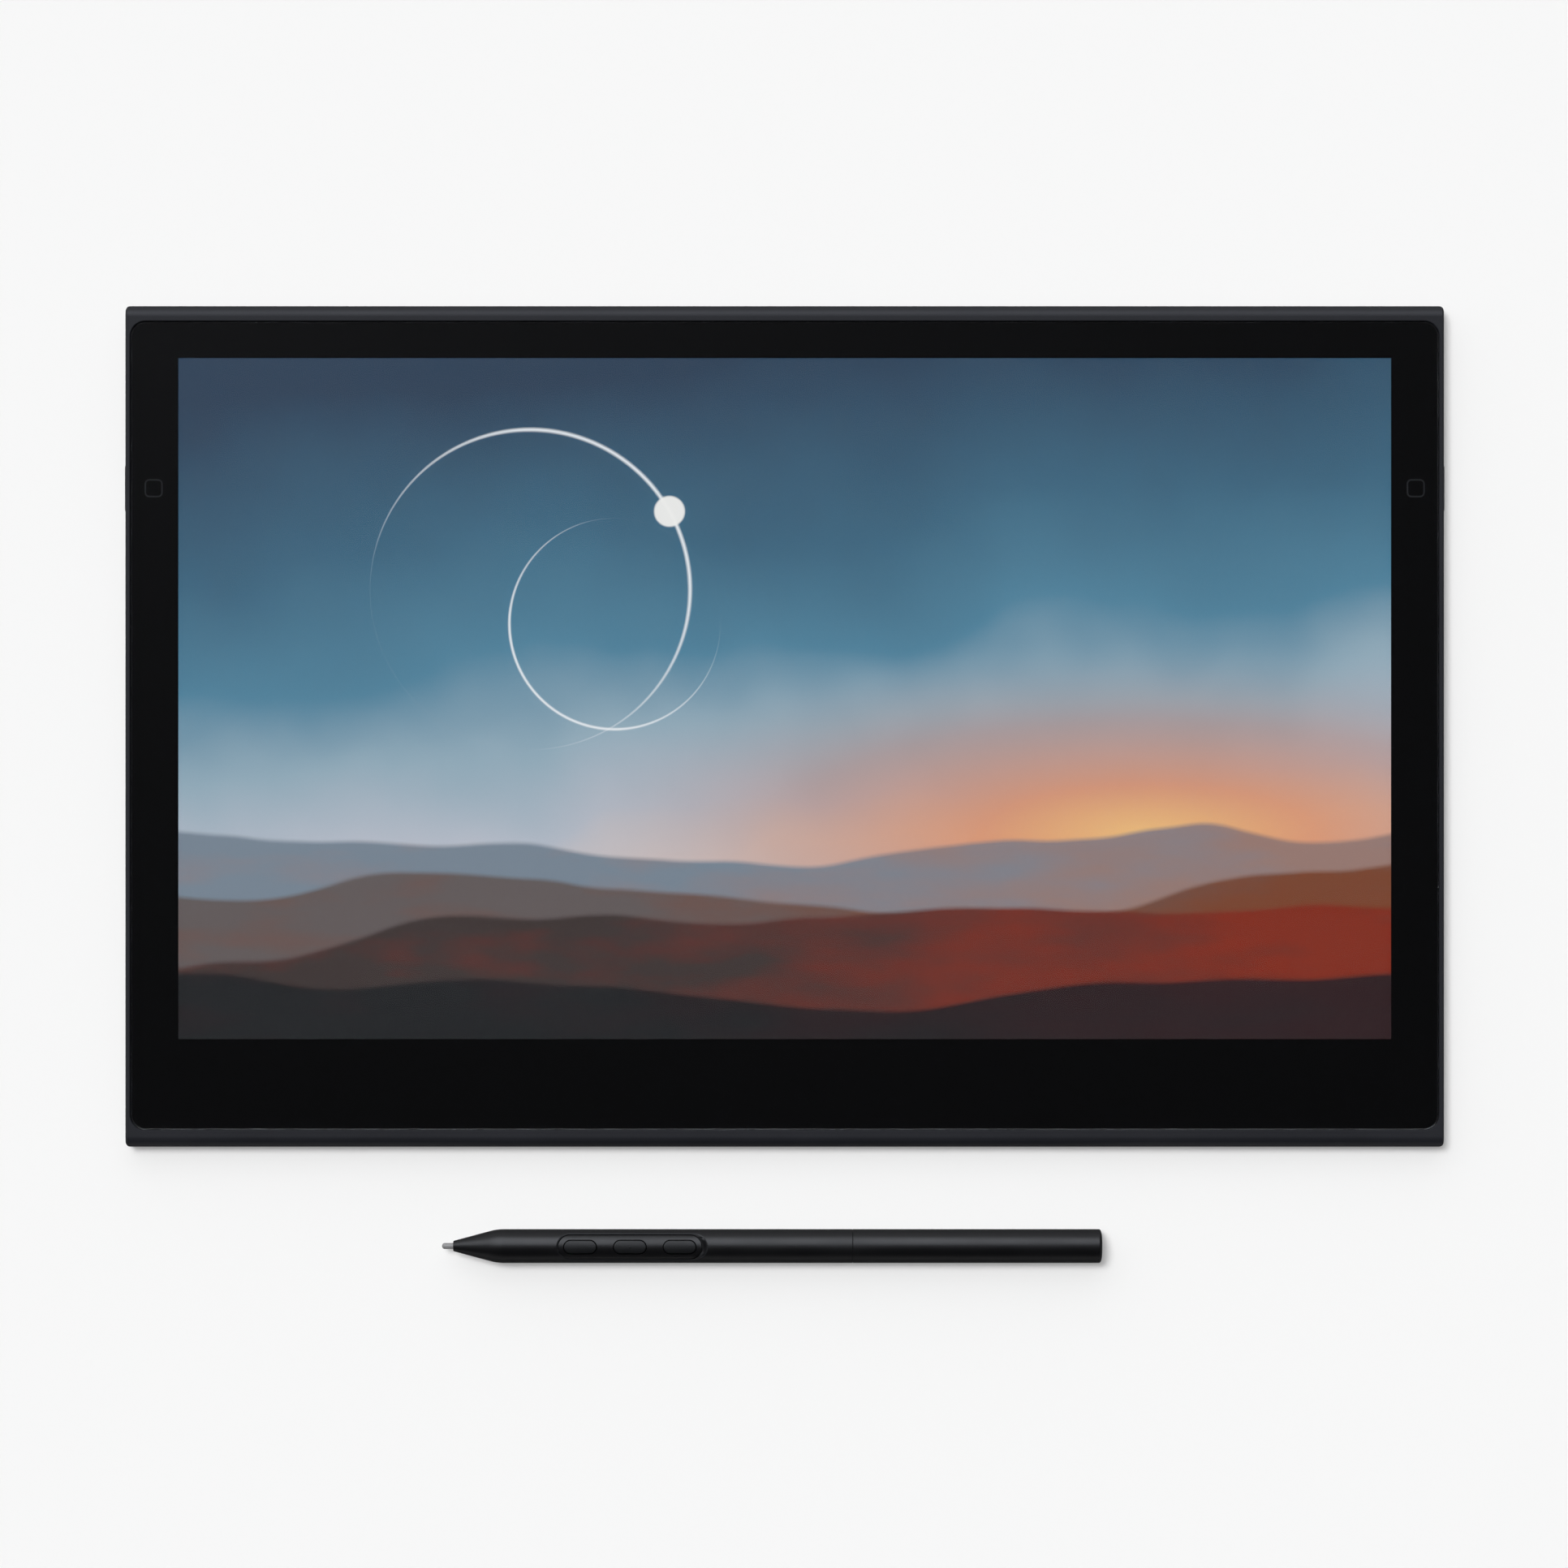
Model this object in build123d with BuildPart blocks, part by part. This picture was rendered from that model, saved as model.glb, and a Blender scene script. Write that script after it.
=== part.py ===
from build123d import *
from math import radians, tan
import os

# Slim pen display lying on the desk, with its pen lying in front of it.
# Origin on the desk under the middle of the set, +X to the right, +Y away from the user, +Z up.

os.makedirs("parts", exist_ok=True)

# Screen and the black borders of the glass round it
active_width = 299.9
active_depth = 168.4
border_side = 11.7
border_upper = 8.98
border_lower = 22.32

# Housing round the glass
rail_width = 14.0
slope_run = 8.0
bend_radius = 6.0
front_rounding = 2.6
back_rounding = 1.9
side_chamfer = 0.4
corner_radius = 1.2
lip_side = 1.35
lip_upper = 4.0
lip_lower = 4.4
lip_chamfer = 0.2
rim_long = 2.2
rim_side = 1.6
web_thickness = 0.5
cable_room = 0.8
seat_width = 1.4
rib_width = 0.9

# Glass and the stack under it
glass_recess = 0.2
glass_thickness = 0.7
glass_corner = 3.6
glass_gap = 0.15
glass_bevel = 0.12
tape_thickness = 0.3
tape_width = 4.0
tape_inset = 0.4
bond_gap = 0.1
panel_border = 1.6
panel_driver_border = 5.0
panel_thickness = 0.6
panel_gap = 0.4
sensor_thickness = 0.3
shield_thickness = 0.2

# Back cover, feet and their screws
cover_wall = 0.6
cover_gap = 0.1
foot_thickness = 0.5
foot_width = 6.0
foot_end_gap = 19.0
foot_setback = 7.0
screw_radius = 0.7
screw_head_radius = 1.4
screw_sink_angle = 120.0
screw_length = 2.6
screw_clearance = 0.02
boss_radius = 2.3
cover_screw_setback = 8.2

# Boards in the upper rail
board_thickness = 0.6
board_margin = 0.8
board_setback = 0.5
main_board_length = 150.0
usb_board_length = 25.5
chip_height = 0.9
chip_depth = 6.0
connector_height = 1.0
connector_depth = 3.0
small_boss_radius = 1.5
small_screw_radius = 0.5
small_head_radius = 1.1
small_head_height = 0.35
small_screw_length = 1.4
chip_shares = ((-0.36, 0.07), (-0.2, 0.1), (0.02, 0.13), (0.4, 0.08))
main_screw_shares = (-0.455, -0.2, 0.455)

# Ribbons
ribbon_thickness = 0.15
ribbon_bend = 0.35
ribbon_gap = 0.05
usb_ribbon_clearance = 0.5
usb_screw_offset = 3.0
usb_screw_pitch = 12.4
display_ribbon_width = 42.0
sensor_ribbon_width = 16.0
sensor_ribbon_share = 0.3
usb_ribbon_width = 4.0
switch_ribbon_width = 4.0
ribbon_slot_depth = 2.4

# USB-C sockets
usb_width = 8.94
usb_height = 3.26
usb_wall = 0.35
usb_length = 7.35
usb_back = 1.6
usb_tongue_width = 6.69
usb_tongue_thickness = 0.7
usb_tongue_length = 4.45
usb_gap = 0.15
usb_recess = 0.3
usb_prong = 1.28
usb_roof = 0.42
usb_floor_gap = 0.47
usb_tab_length = 1.8
usb_tab_width = 1.2
usb_tab_thickness = 0.3

# Side buttons and their switches
side_button_setback = 45.15
side_button_length = 11.4
side_button_height = 1.4
side_button_proud = 0.28
side_button_drop = 0.85
side_button_gap = 0.1
side_button_edge = 0.2
side_button_ear = 1.6
side_button_ear_thickness = 0.8
side_button_travel = 0.25
switch_gap = 0.1
switch_pocket_length = 20.0
switch_pocket_roof = 0.4
switch_pad_length = 16.0
switch_pad_thickness = 0.4
switch_pad_depth = 5.4
switch_depth = 3.4
switch_length = 4.6
switch_height = 1.1
plunger_length = 1.8
plunger_height = 0.8
plunger_reach = 0.55

# Pen
pen_gap = 20.4
pen_diameter = 8.35
pen_front_length = 101.7
pen_rear_length = 61.7
pen_shift = -3.14
nib_diameter = 1.5
nib_length = 25.0
nib_proud = 2.8
nib_travel = 0.5
nib_gap = 0.08
nib_grip = 3.2
nib_tip_length = 0.65
nib_tip_drop = 0.4
cone_length = 10.8
cone_wall = 0.445
cone_shoulder = 12.0
cone_nose_chamfer = 0.15
seam_gap = 0.08
seam_chamfer = 0.12
barrel_wall = 0.85
barrel_end = 5.0
tail_dome = 0.45
tail_slope = 2.6
tail_chamfer = 0.5
nose_length = 8.2
ferrite_gap = 0.2
ferrite_wall = 0.8
winding_thickness = 0.55
winding_share = 0.66
step_gap = 0.1
sensor_length = 5.8
core_gap = 0.05
core_front_wall = 0.6
spigot_length = 11.0

# Switch insert and buttons of the pen
insert_setback = 1.06
insert_length = 37.0
insert_width = 6.2
insert_gap = 0.24
insert_sink = 0.08
insert_depth = 2.275
notch_reach = 1.1
notch_depth = 0.9
pen_button_length = 8.4
pen_button_width = 3.63
pen_button_pitch = 12.3
pen_button_gap = 0.18
pen_button_sink = 0.2
pen_button_crown = 7.5
pen_button_edge = 0.22
pen_button_travel = 0.25
pen_flange = 0.5
pen_flange_thickness = 0.5
pen_flange_gap = 0.05
tactile_dot_radius = 0.22
tactile_dot_rise = 0.12
pen_board_inset = 1.075
pen_board_thickness = 0.6
pen_board_setback = 12.1
pen_switch_length = 3.0
pen_switch_width = 2.6
pen_switch_height = 0.65
pen_chip_length = 8.0
pen_chip_setback = 9.6

# Store for spare nibs
holder_length = 18.0
holder_gap = 0.25
store_wall = 0.5
store_count = 3
store_depth = 16.0

# Sides of the hidden round things that repeat
few_sides = 8
overrun = 1.0

# Outline of the tablet, from the screen outwards
glass_width = active_width + 2 * border_side
glass_depth = active_depth + border_upper + border_lower
tablet_width = glass_width + 2 * lip_side
tablet_depth = glass_depth + lip_upper + lip_lower
half_width = tablet_width / 2
half_depth = tablet_depth / 2
glass_y = (lip_lower - lip_upper) / 2
active_y = glass_y + (border_lower - border_upper) / 2
panel_width = active_width + 2 * panel_border
panel_depth = active_depth + panel_border + panel_driver_border
panel_y = active_y + (panel_border - panel_driver_border) / 2
panel_upper = panel_y + panel_depth / 2
panel_lower = panel_y - panel_depth / 2
inner_width = tablet_width - 2 * rim_side
inner_depth = tablet_depth - 2 * rim_long
rail_inner = half_depth - rail_width
waist_half = rail_inner - slope_run
foot_y = half_depth - foot_setback
foot_length = tablet_width - 2 * foot_end_gap

# Heights above the desk: the sockets set the rails, and the stack sets the thin waist
rail_level = foot_thickness
rail_floor = rail_level + cover_wall
usb_z = rail_floor + usb_floor_gap + usb_height / 2
land_level = usb_z + usb_height / 2 + usb_gap + usb_roof
glass_bottom = land_level + tape_thickness
tablet_height = glass_bottom + glass_thickness + glass_recess
panel_bottom = glass_bottom - bond_gap - panel_thickness
sensor_bottom = panel_bottom - sensor_thickness
web_top = sensor_bottom - shield_thickness
web_bottom = web_top - web_thickness
waist_floor = web_bottom - cable_room
waist_level = waist_floor - cover_wall
ribbon_line = web_bottom - ribbon_gap - ribbon_thickness / 2
ribbon_level = ribbon_line - ribbon_thickness / 2
board_top = ribbon_level - connector_height
board_bottom = board_top - board_thickness
switch_roof = land_level - switch_pocket_roof
side_button_z = switch_roof - side_button_drop

# Places in the rails and along the short sides
screw_head_height = (screw_head_radius - screw_radius) / tan(radians(screw_sink_angle / 2))
board_depth = rail_width - board_margin
board_y = inner_depth / 2 - board_setback - board_depth / 2
board_edge = board_y - board_depth / 2
usb_y = board_y + board_depth / 2 - usb_prong - switch_gap - usb_width / 2
usb_mouth = half_width - usb_recess
usb_board_end = inner_width / 2 - board_setback
usb_board_start = usb_board_end - usb_board_length
sensor_ribbon_place = sensor_ribbon_share * main_board_length
ribbon_y = foot_y - boss_radius - usb_ribbon_clearance - usb_ribbon_width / 2
side_button_y = half_depth - side_button_setback
ear_face = inner_width / 2 - side_button_gap
pad_end = ear_face - side_button_ear_thickness - side_button_travel - switch_gap - plunger_reach
pad_start = pad_end - switch_pad_depth
switch_pocket_start = pad_start - 2 * switch_gap
cover_screw_places = [
    (side * place, rail * foot_y)
    for rail in (-1, 1)
    for side in (-1, 1)
    for place in (main_board_length / 2 + cover_screw_setback, usb_board_start - cover_screw_setback)
]
main_screw_places = [
    (share * main_board_length, board_edge + small_head_radius + board_setback)
    for share in main_screw_shares
]
usb_screw_places = [
    (side * (usb_board_start + small_head_radius + board_setback + step), board_y + usb_screw_offset)
    for side in (-1, 1)
    for step in (0, usb_screw_pitch)
]

# Where tablet and pen lie round the origin
tablet_y = (pen_gap + pen_diameter) / 2
pen_y = -(tablet_depth + pen_gap) / 2
pen_length = pen_front_length + pen_rear_length
pen_tip_x = pen_shift - pen_length / 2

# Places along the pen, measured from its tip, and heights above its axis
pen_radius = pen_diameter / 2
nib_radius = nib_diameter / 2
bore_radius = nib_radius + nib_gap
cone_face_radius = bore_radius + cone_wall
barrel_bore = pen_radius - barrel_wall
core_radius = barrel_bore - core_gap
ferrite_bore = nib_radius + ferrite_gap
ferrite_radius = ferrite_bore + ferrite_wall
coil_radius = ferrite_radius + winding_thickness
coil_start = nib_proud + nose_length
sensor_start = nib_length - nib_grip
coil_length = sensor_start - 2 * step_gap - coil_start
sensor_end = sensor_start + sensor_length
sensor_radius = core_radius - core_front_wall - step_gap
core_start = sensor_start - step_gap
holder_start = pen_front_length + spigot_length
holder_radius = barrel_bore - holder_gap
store_radius = holder_radius - store_wall - bore_radius
insert_place = sensor_end + insert_setback
insert_middle = insert_place + insert_length / 2
insert_shift = insert_middle - notch_reach / 2
insert_seat = pen_radius - insert_depth
flange_bottom = insert_seat - pen_flange_gap - pen_flange_thickness
switch_top = flange_bottom - pen_button_travel - pen_flange_gap
pen_board_rise = switch_top - step_gap - pen_switch_height
board_floor = pen_board_rise - pen_board_thickness
pen_board_end = pen_front_length - pen_board_setback
pen_board_length = pen_board_end - sensor_end
pen_board_width = 2 * (core_radius - pen_board_inset)
pen_button_places = [insert_shift + step * pen_button_pitch for step in (-1, 0, 1)]


def level(height):
    """Level plane over the middle of the tablet."""
    return Plane((0, tablet_y, height))


def side_section(x):
    """Upright plane across the tablet, its own x along +Y and its own y along +Z."""
    return Plane(origin=(x, tablet_y, 0), x_dir=(0, 1, 0), z_dir=(1, 0, 0))


def pen_side(across=0):
    """Upright plane along the pen from its tip, its own x along +X and its own y along +Z."""
    return Plane(origin=(pen_tip_x, pen_y + across, pen_radius), x_dir=(1, 0, 0), z_dir=(0, -1, 0))


def pen_level(rise):
    """Level plane along the pen at a rise above its axis, its own x measured from the tip."""
    return Plane((pen_tip_x, pen_y, pen_radius + rise))


def pen_section(place):
    """Plane square to the pen at a distance from its tip."""
    return Plane(origin=(pen_tip_x + place, pen_y, pen_radius), x_dir=(0, 1, 0), z_dir=(1, 0, 0))


def back_line(reach, lift):
    """Back outline of the tablet with its two rails, from end to end."""
    return [
        (-reach, rail_level + lift),
        (-rail_inner, rail_level + lift),
        (-waist_half, waist_level + lift),
        (waist_half, waist_level + lift),
        (rail_inner, rail_level + lift),
        (reach, rail_level + lift),
    ]


def finish(piece, name):
    """Label a finished piece and write it."""
    piece.part.label = name
    export_step(piece.part, f"parts/{name}.step")


pen_axis = Axis((pen_tip_x, pen_y, pen_radius), (1, 0, 0))

# Frame: ring with rails, lip and land, and a thin web that carries the display stack
with BuildPart() as frame:
    with BuildSketch(side_section(-half_width)):
        with BuildLine():
            Polyline(
                *back_line(half_depth, 0),
                (half_depth, tablet_height),
                (-half_depth, tablet_height),
                close=True,
            )
        make_face()
        fillet(vertices().group_by(Axis.Y)[-1], front_rounding)
        fillet(vertices().group_by(Axis.Y)[0].sort_by(Axis.X)[0], back_rounding)
        fillet(vertices().group_by(Axis.Y)[0].sort_by(Axis.X)[-1], back_rounding)
        fillet(vertices().filter_by_position(Axis.X, -rail_inner, rail_inner), bend_radius)
    extrude(amount=tablet_width)
    side_faces = faces().sort_by(Axis.X)
    chamfer([*side_faces[0].edges(), *side_faces[-1].edges()], side_chamfer)
    with BuildSketch(level(0)):
        RectangleRounded(tablet_width, tablet_depth, corner_radius)
    extrude(amount=tablet_height, mode=Mode.INTERSECT)
    # Pocket of the glass down to the land
    with BuildSketch(level(land_level)):
        with Locations((0, glass_y)):
            RectangleRounded(glass_width + 2 * glass_gap, glass_depth + 2 * glass_gap, glass_corner + glass_gap)
    extrude(amount=tablet_height, mode=Mode.SUBTRACT)
    chamfer(faces().filter_by(Axis.Z).sort_by(Axis.Z)[-1].inner_wires()[0].edges(), lip_chamfer)
    # Pocket of the display stack down to the web
    with BuildSketch(level(web_top)):
        with Locations((0, panel_y)):
            Rectangle(panel_width + 2 * panel_gap, panel_depth + 2 * panel_gap)
    extrude(amount=tablet_height, mode=Mode.SUBTRACT)
    # Hollow of the back, open for the cover
    with BuildSketch(level(-overrun)):
        RectangleRounded(inner_width, inner_depth, corner_radius)
    extrude(amount=web_bottom + overrun, mode=Mode.SUBTRACT)
    # Slots that let the two ribbons through the web
    with BuildSketch(level(web_bottom)):
        with Locations((0, panel_lower - panel_gap - ribbon_slot_depth / 2)):
            Rectangle(display_ribbon_width + 2 * panel_gap, ribbon_slot_depth)
        with Locations((sensor_ribbon_place, panel_upper + panel_gap + ribbon_slot_depth / 2)):
            Rectangle(sensor_ribbon_width + 2 * panel_gap, ribbon_slot_depth)
    extrude(amount=tablet_height, mode=Mode.SUBTRACT)
    # Seats for the cover along the short sides
    with BuildSketch(level(waist_floor)):
        for side in (-1, 1):
            with Locations((side * (inner_width - seat_width) / 2, 0)):
                Rectangle(seat_width, 2 * waist_half)
    extrude(amount=cable_room)
    # Bosses for the cover screws, tied to the rim by ribs
    with BuildSketch(level(rail_floor)):
        with Locations(*cover_screw_places):
            RegularPolygon(boss_radius, few_sides)
        for x, y in cover_screw_places:
            with Locations((x, (y + inner_depth / 2 * (1 if y > 0 else -1)) / 2)):
                Rectangle(rib_width, inner_depth / 2 - foot_y)
    extrude(amount=web_bottom - rail_floor)
    # Bosses for the board screws
    with BuildSketch(level(board_top)):
        with Locations(*main_screw_places, *usb_screw_places):
            RegularPolygon(small_boss_radius, few_sides)
    extrude(amount=web_bottom - board_top)
    # Room for sockets and switches, cut upwards into the land
    for side in (-1, 1):
        with BuildSketch(side_section(side * (inner_width / 2 - usb_length - usb_gap))):
            with Locations((usb_y, usb_z)):
                SlotOverall(usb_width + 2 * usb_gap, usb_height + 2 * usb_gap)
        extrude(amount=side * (usb_length + 2 * rim_side), mode=Mode.SUBTRACT)
        with BuildSketch(level(waist_floor)):
            with Locations((side * (inner_width / 2 + switch_pocket_start) / 2, side_button_y)):
                Rectangle(inner_width / 2 - switch_pocket_start, switch_pocket_length)
        extrude(amount=switch_roof - waist_floor, mode=Mode.SUBTRACT)
        with BuildSketch(side_section(side * inner_width / 2)):
            with Locations((side_button_y, side_button_z)):
                SlotOverall(
                    side_button_length + 2 * side_button_gap, side_button_height + 2 * side_button_gap
                )
        extrude(amount=side * 2 * rim_side, mode=Mode.SUBTRACT)
    # Screw holes
    with BuildSketch(level(rail_floor)):
        with Locations(*cover_screw_places):
            RegularPolygon(screw_radius + screw_clearance, few_sides)
    extrude(amount=screw_length, mode=Mode.SUBTRACT)
    with BuildSketch(level(board_top)):
        with Locations(*main_screw_places, *usb_screw_places):
            RegularPolygon(small_screw_radius + screw_clearance, few_sides)
    extrude(amount=small_screw_length, mode=Mode.SUBTRACT)
finish(frame, "frame")

# Back cover: formed sheet with the two rails, set in the frame's rim
with BuildPart() as back_cover:
    cover_reach = inner_depth / 2 - cover_gap
    cover_half = inner_width / 2 - cover_gap
    with BuildSketch(side_section(-cover_half)):
        with BuildLine():
            Polyline(*back_line(cover_reach, 0), *reversed(back_line(cover_reach, cover_wall)), close=True)
        make_face()
        fillet(vertices().filter_by_position(Axis.X, -rail_inner, rail_inner), bend_radius)
    extrude(amount=2 * cover_half)
    fillet(edges().filter_by(Axis.Z).group_by(Axis.X)[0], corner_radius - cover_gap)
    fillet(edges().filter_by(Axis.Z).group_by(Axis.X)[-1], corner_radius - cover_gap)
    for radius, taper in ((screw_head_radius, screw_sink_angle / 2), (screw_radius, 0)):
        with BuildSketch(level(rail_level)):
            with Locations(*cover_screw_places):
                RegularPolygon(radius + screw_clearance, few_sides)
        extrude(amount=cover_wall if taper == 0 else screw_head_height, taper=taper, mode=Mode.SUBTRACT)
finish(back_cover, "back_cover")

# Flat-head screws that hold the cover, hidden under the feet
with BuildPart() as cover_screws:
    with BuildSketch(level(rail_level)):
        with Locations(*cover_screw_places):
            RegularPolygon(screw_head_radius, few_sides)
    extrude(amount=screw_head_height, taper=screw_sink_angle / 2)
    with BuildSketch(level(rail_level)):
        with Locations(*cover_screw_places):
            RegularPolygon(screw_radius, few_sides)
    extrude(amount=screw_length)
finish(cover_screws, "cover_screws")

# Rubber foot strips on the rails
for rail, name in ((-1, "foot_lower"), (1, "foot_upper")):
    with BuildPart() as foot:
        with BuildSketch(level(0)):
            with Locations((0, rail * foot_y)):
                SlotOverall(foot_length, foot_width)
        extrude(amount=foot_thickness)
        chamfer(edges().group_by(Axis.Z)[0], foot_thickness / 4)
    finish(foot, name)

# Front glass with a fine bevel round its edge
with BuildPart() as cover_glass:
    with BuildSketch(level(glass_bottom)):
        with Locations((0, glass_y)):
            RectangleRounded(glass_width, glass_depth, glass_corner)
    extrude(amount=glass_thickness)
    chamfer(edges().group_by(Axis.Z)[-1], glass_bevel)
finish(cover_glass, "cover_glass")

# Ring of tape between glass and land
with BuildPart() as glass_tape:
    with BuildSketch(level(land_level)):
        with Locations((0, glass_y)):
            tape_corner = glass_corner - tape_inset
            RectangleRounded(glass_width - 2 * tape_inset, glass_depth - 2 * tape_inset, tape_corner)
            Rectangle(
                glass_width - 2 * (tape_inset + tape_width),
                glass_depth - 2 * (tape_inset + tape_width),
                mode=Mode.SUBTRACT,
            )
    extrude(amount=tape_thickness)
finish(glass_tape, "glass_adhesive")

# Display panel, pen sensor board and shield, one on the other
stack = (
    ("display_panel", panel_bottom, panel_thickness),
    ("pen_sensor_board", sensor_bottom, sensor_thickness),
    ("sensor_shield", web_top, shield_thickness),
)
for name, bottom, thickness in stack:
    with BuildPart() as layer:
        with BuildSketch(level(bottom)):
            with Locations((0, panel_y)):
                Rectangle(panel_width, panel_depth)
        extrude(amount=thickness)
    finish(layer, name)

# Main board with chips, connectors and screw holes
connector_y = board_y + board_depth / 2 - connector_depth
with BuildPart() as main_board:
    with BuildSketch(level(board_bottom)):
        with Locations((0, board_y)):
            Rectangle(main_board_length, board_depth)
        with Locations(*main_screw_places):
            RegularPolygon(small_screw_radius + screw_clearance, few_sides, mode=Mode.SUBTRACT)
    extrude(amount=board_thickness)
    with BuildSketch(level(board_top)):
        for place_share, length_share in chip_shares:
            with Locations((place_share * main_board_length, board_y)):
                Rectangle(length_share * main_board_length, chip_depth)
    extrude(amount=chip_height)
    with BuildSketch(level(board_top)):
        with Locations((0, board_edge + connector_depth / 2)):
            Rectangle(display_ribbon_width / 2, connector_depth)
        with Locations((sensor_ribbon_place, connector_y)):
            Rectangle(sensor_ribbon_width, connector_depth)
        for side in (-1, 1):
            with Locations((side * (main_board_length - connector_depth) / 2, ribbon_y)):
                Rectangle(connector_depth, usb_ribbon_width)
    extrude(amount=connector_height)
finish(main_board, "main_board")

# Ribbons from the panel's lower edge and the sensor board's upper edge to the main board
panel_middle = panel_bottom + panel_thickness / 2
sensor_middle = sensor_bottom + sensor_thickness / 2
ribbons = (
    (
        "display_ribbon",
        (-display_ribbon_width / 2, display_ribbon_width),
        (
            (panel_lower, panel_middle),
            (panel_lower - panel_gap - ribbon_slot_depth / 2, panel_middle),
            (panel_lower - panel_gap - ribbon_slot_depth / 2, ribbon_line),
            (board_edge + connector_depth, ribbon_line),
        ),
    ),
    (
        "sensor_ribbon",
        (sensor_ribbon_place - sensor_ribbon_width / 2, sensor_ribbon_width),
        (
            (panel_upper, sensor_middle),
            (panel_upper + panel_gap + ribbon_slot_depth / 2, sensor_middle),
            (panel_upper + panel_gap + ribbon_slot_depth / 2, ribbon_line),
            (connector_y + connector_depth / 2, ribbon_line),
        ),
    ),
)
for name, (start, width), route in ribbons:
    with BuildPart() as ribbon:
        with BuildSketch(side_section(start)):
            with BuildLine():
                FilletPolyline(*route, radius=ribbon_bend)
            trace(line_width=ribbon_thickness)
        extrude(amount=width)
    finish(ribbon, name)

# What both ends of the upper rail and both short sides hold
tab_x = usb_board_end - usb_tab_length / 2
tab_y = usb_width / 2 + (usb_tab_width - usb_wall) / 2
tail_x = pad_start + switch_ribbon_width / 2
pad_bottom = switch_roof - switch_pad_thickness
tail_drop = side_button_y + (switch_pad_length + switch_pocket_length) / 4
prong = usb_y - usb_width / 2 - switch_gap - board_edge
for side, name in ((-1, "left"), (1, "right")):
    # Socket: drawn shell with its tongue and two solder tabs
    with BuildPart() as usb_socket:
        with BuildSketch(side_section(side * usb_mouth)):
            with Locations((usb_y, usb_z)):
                SlotOverall(usb_width, usb_height)
        extrude(amount=-side * usb_length)
        with BuildSketch(side_section(side * usb_mouth)):
            with Locations((usb_y, usb_z)):
                SlotOverall(usb_width - 2 * usb_wall, usb_height - 2 * usb_wall)
        extrude(amount=side * (usb_back - usb_length), mode=Mode.SUBTRACT)
        with BuildSketch(side_section(side * (usb_mouth - usb_length + usb_back))):
            with Locations((usb_y, usb_z)):
                Rectangle(usb_tongue_width, usb_tongue_thickness)
        extrude(amount=side * usb_tongue_length)
        with BuildSketch(level(board_top)):
            with Locations((side * tab_x, usb_y - tab_y), (side * tab_x, usb_y + tab_y)):
                Rectangle(usb_tab_length, usb_tab_width + usb_wall)
        extrude(amount=usb_tab_thickness)
    finish(usb_socket, f"usb_socket_{name}")

    # Small board with a notch for the socket
    with BuildPart() as usb_board:
        with BuildSketch(level(board_bottom)):
            with Locations((side * (usb_board_start + usb_board_end) / 2, board_y)):
                Rectangle(usb_board_length, board_depth)
            with Locations((side * usb_mouth, usb_y)):
                Rectangle(2 * usb_length, usb_width + 2 * switch_gap, mode=Mode.SUBTRACT)
            with Locations(*usb_screw_places):
                RegularPolygon(small_screw_radius + screw_clearance, few_sides, mode=Mode.SUBTRACT)
        extrude(amount=board_thickness)
        with BuildSketch(level(board_top)):
            with Locations((side * (usb_board_start + connector_depth / 2), ribbon_y)):
                Rectangle(connector_depth, usb_ribbon_width)
            with Locations((side * tail_x, board_edge + prong / 2)):
                Rectangle(switch_ribbon_width, prong)
        extrude(amount=connector_height)
    finish(usb_board, f"usb_board_{name}")

    with BuildPart() as usb_ribbon:
        ribbon_start = main_board_length / 2 - connector_depth
        ribbon_end = usb_board_start + connector_depth
        with BuildSketch(level(ribbon_level)):
            with Locations((side * (ribbon_start + ribbon_end) / 2, ribbon_y)):
                Rectangle(ribbon_end - ribbon_start, usb_ribbon_width - board_setback)
        extrude(amount=ribbon_thickness)
    finish(usb_ribbon, f"usb_ribbon_{name}")

    # Push switch on its stiffened pad, with the ribbon that leads to the small board
    with BuildPart() as switch_board:
        with BuildSketch(level(pad_bottom)):
            with Locations((side * (pad_start + pad_end) / 2, side_button_y)):
                Rectangle(switch_pad_depth, switch_pad_length)
        extrude(amount=switch_pad_thickness)
        with BuildSketch(level(pad_bottom)):
            with Locations((side * (pad_end - switch_depth / 2), side_button_y)):
                Rectangle(switch_depth, switch_length)
        extrude(amount=-switch_height)
        with BuildSketch(side_section(side * pad_end)):
            with Locations((side_button_y, side_button_z)):
                RectangleRounded(plunger_length, plunger_height, plunger_height / 4)
        extrude(amount=side * plunger_reach)
        with BuildSketch(side_section(side * (tail_x - switch_ribbon_width / 2))):
            with BuildLine():
                FilletPolyline(
                    (side_button_y, switch_roof - ribbon_thickness / 2),
                    (tail_drop, switch_roof - ribbon_thickness / 2),
                    (tail_drop, ribbon_line),
                    (board_edge + prong, ribbon_line),
                    radius=ribbon_bend,
                )
            trace(line_width=ribbon_thickness)
        extrude(amount=side * switch_ribbon_width)
    finish(switch_board, f"switch_board_{name}")

    # Side button: rounded cap through the wall, with ears that keep it in
    with BuildPart() as side_button:
        with BuildSketch(side_section(side * ear_face)):
            with Locations((side_button_y, side_button_z)):
                SlotOverall(side_button_length, side_button_height)
        extrude(amount=side * (half_width + side_button_proud - ear_face))
        outer_face = faces().sort_by(Axis.X)[-1 if side > 0 else 0]
        chamfer(outer_face.edges(), side_button_edge)
        with BuildSketch(side_section(side * ear_face)):
            with Locations((side_button_y, side_button_z)):
                Rectangle(side_button_length + 2 * side_button_ear, side_button_height)
        extrude(amount=-side * side_button_ear_thickness)
    finish(side_button, f"{name}_button")

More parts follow.
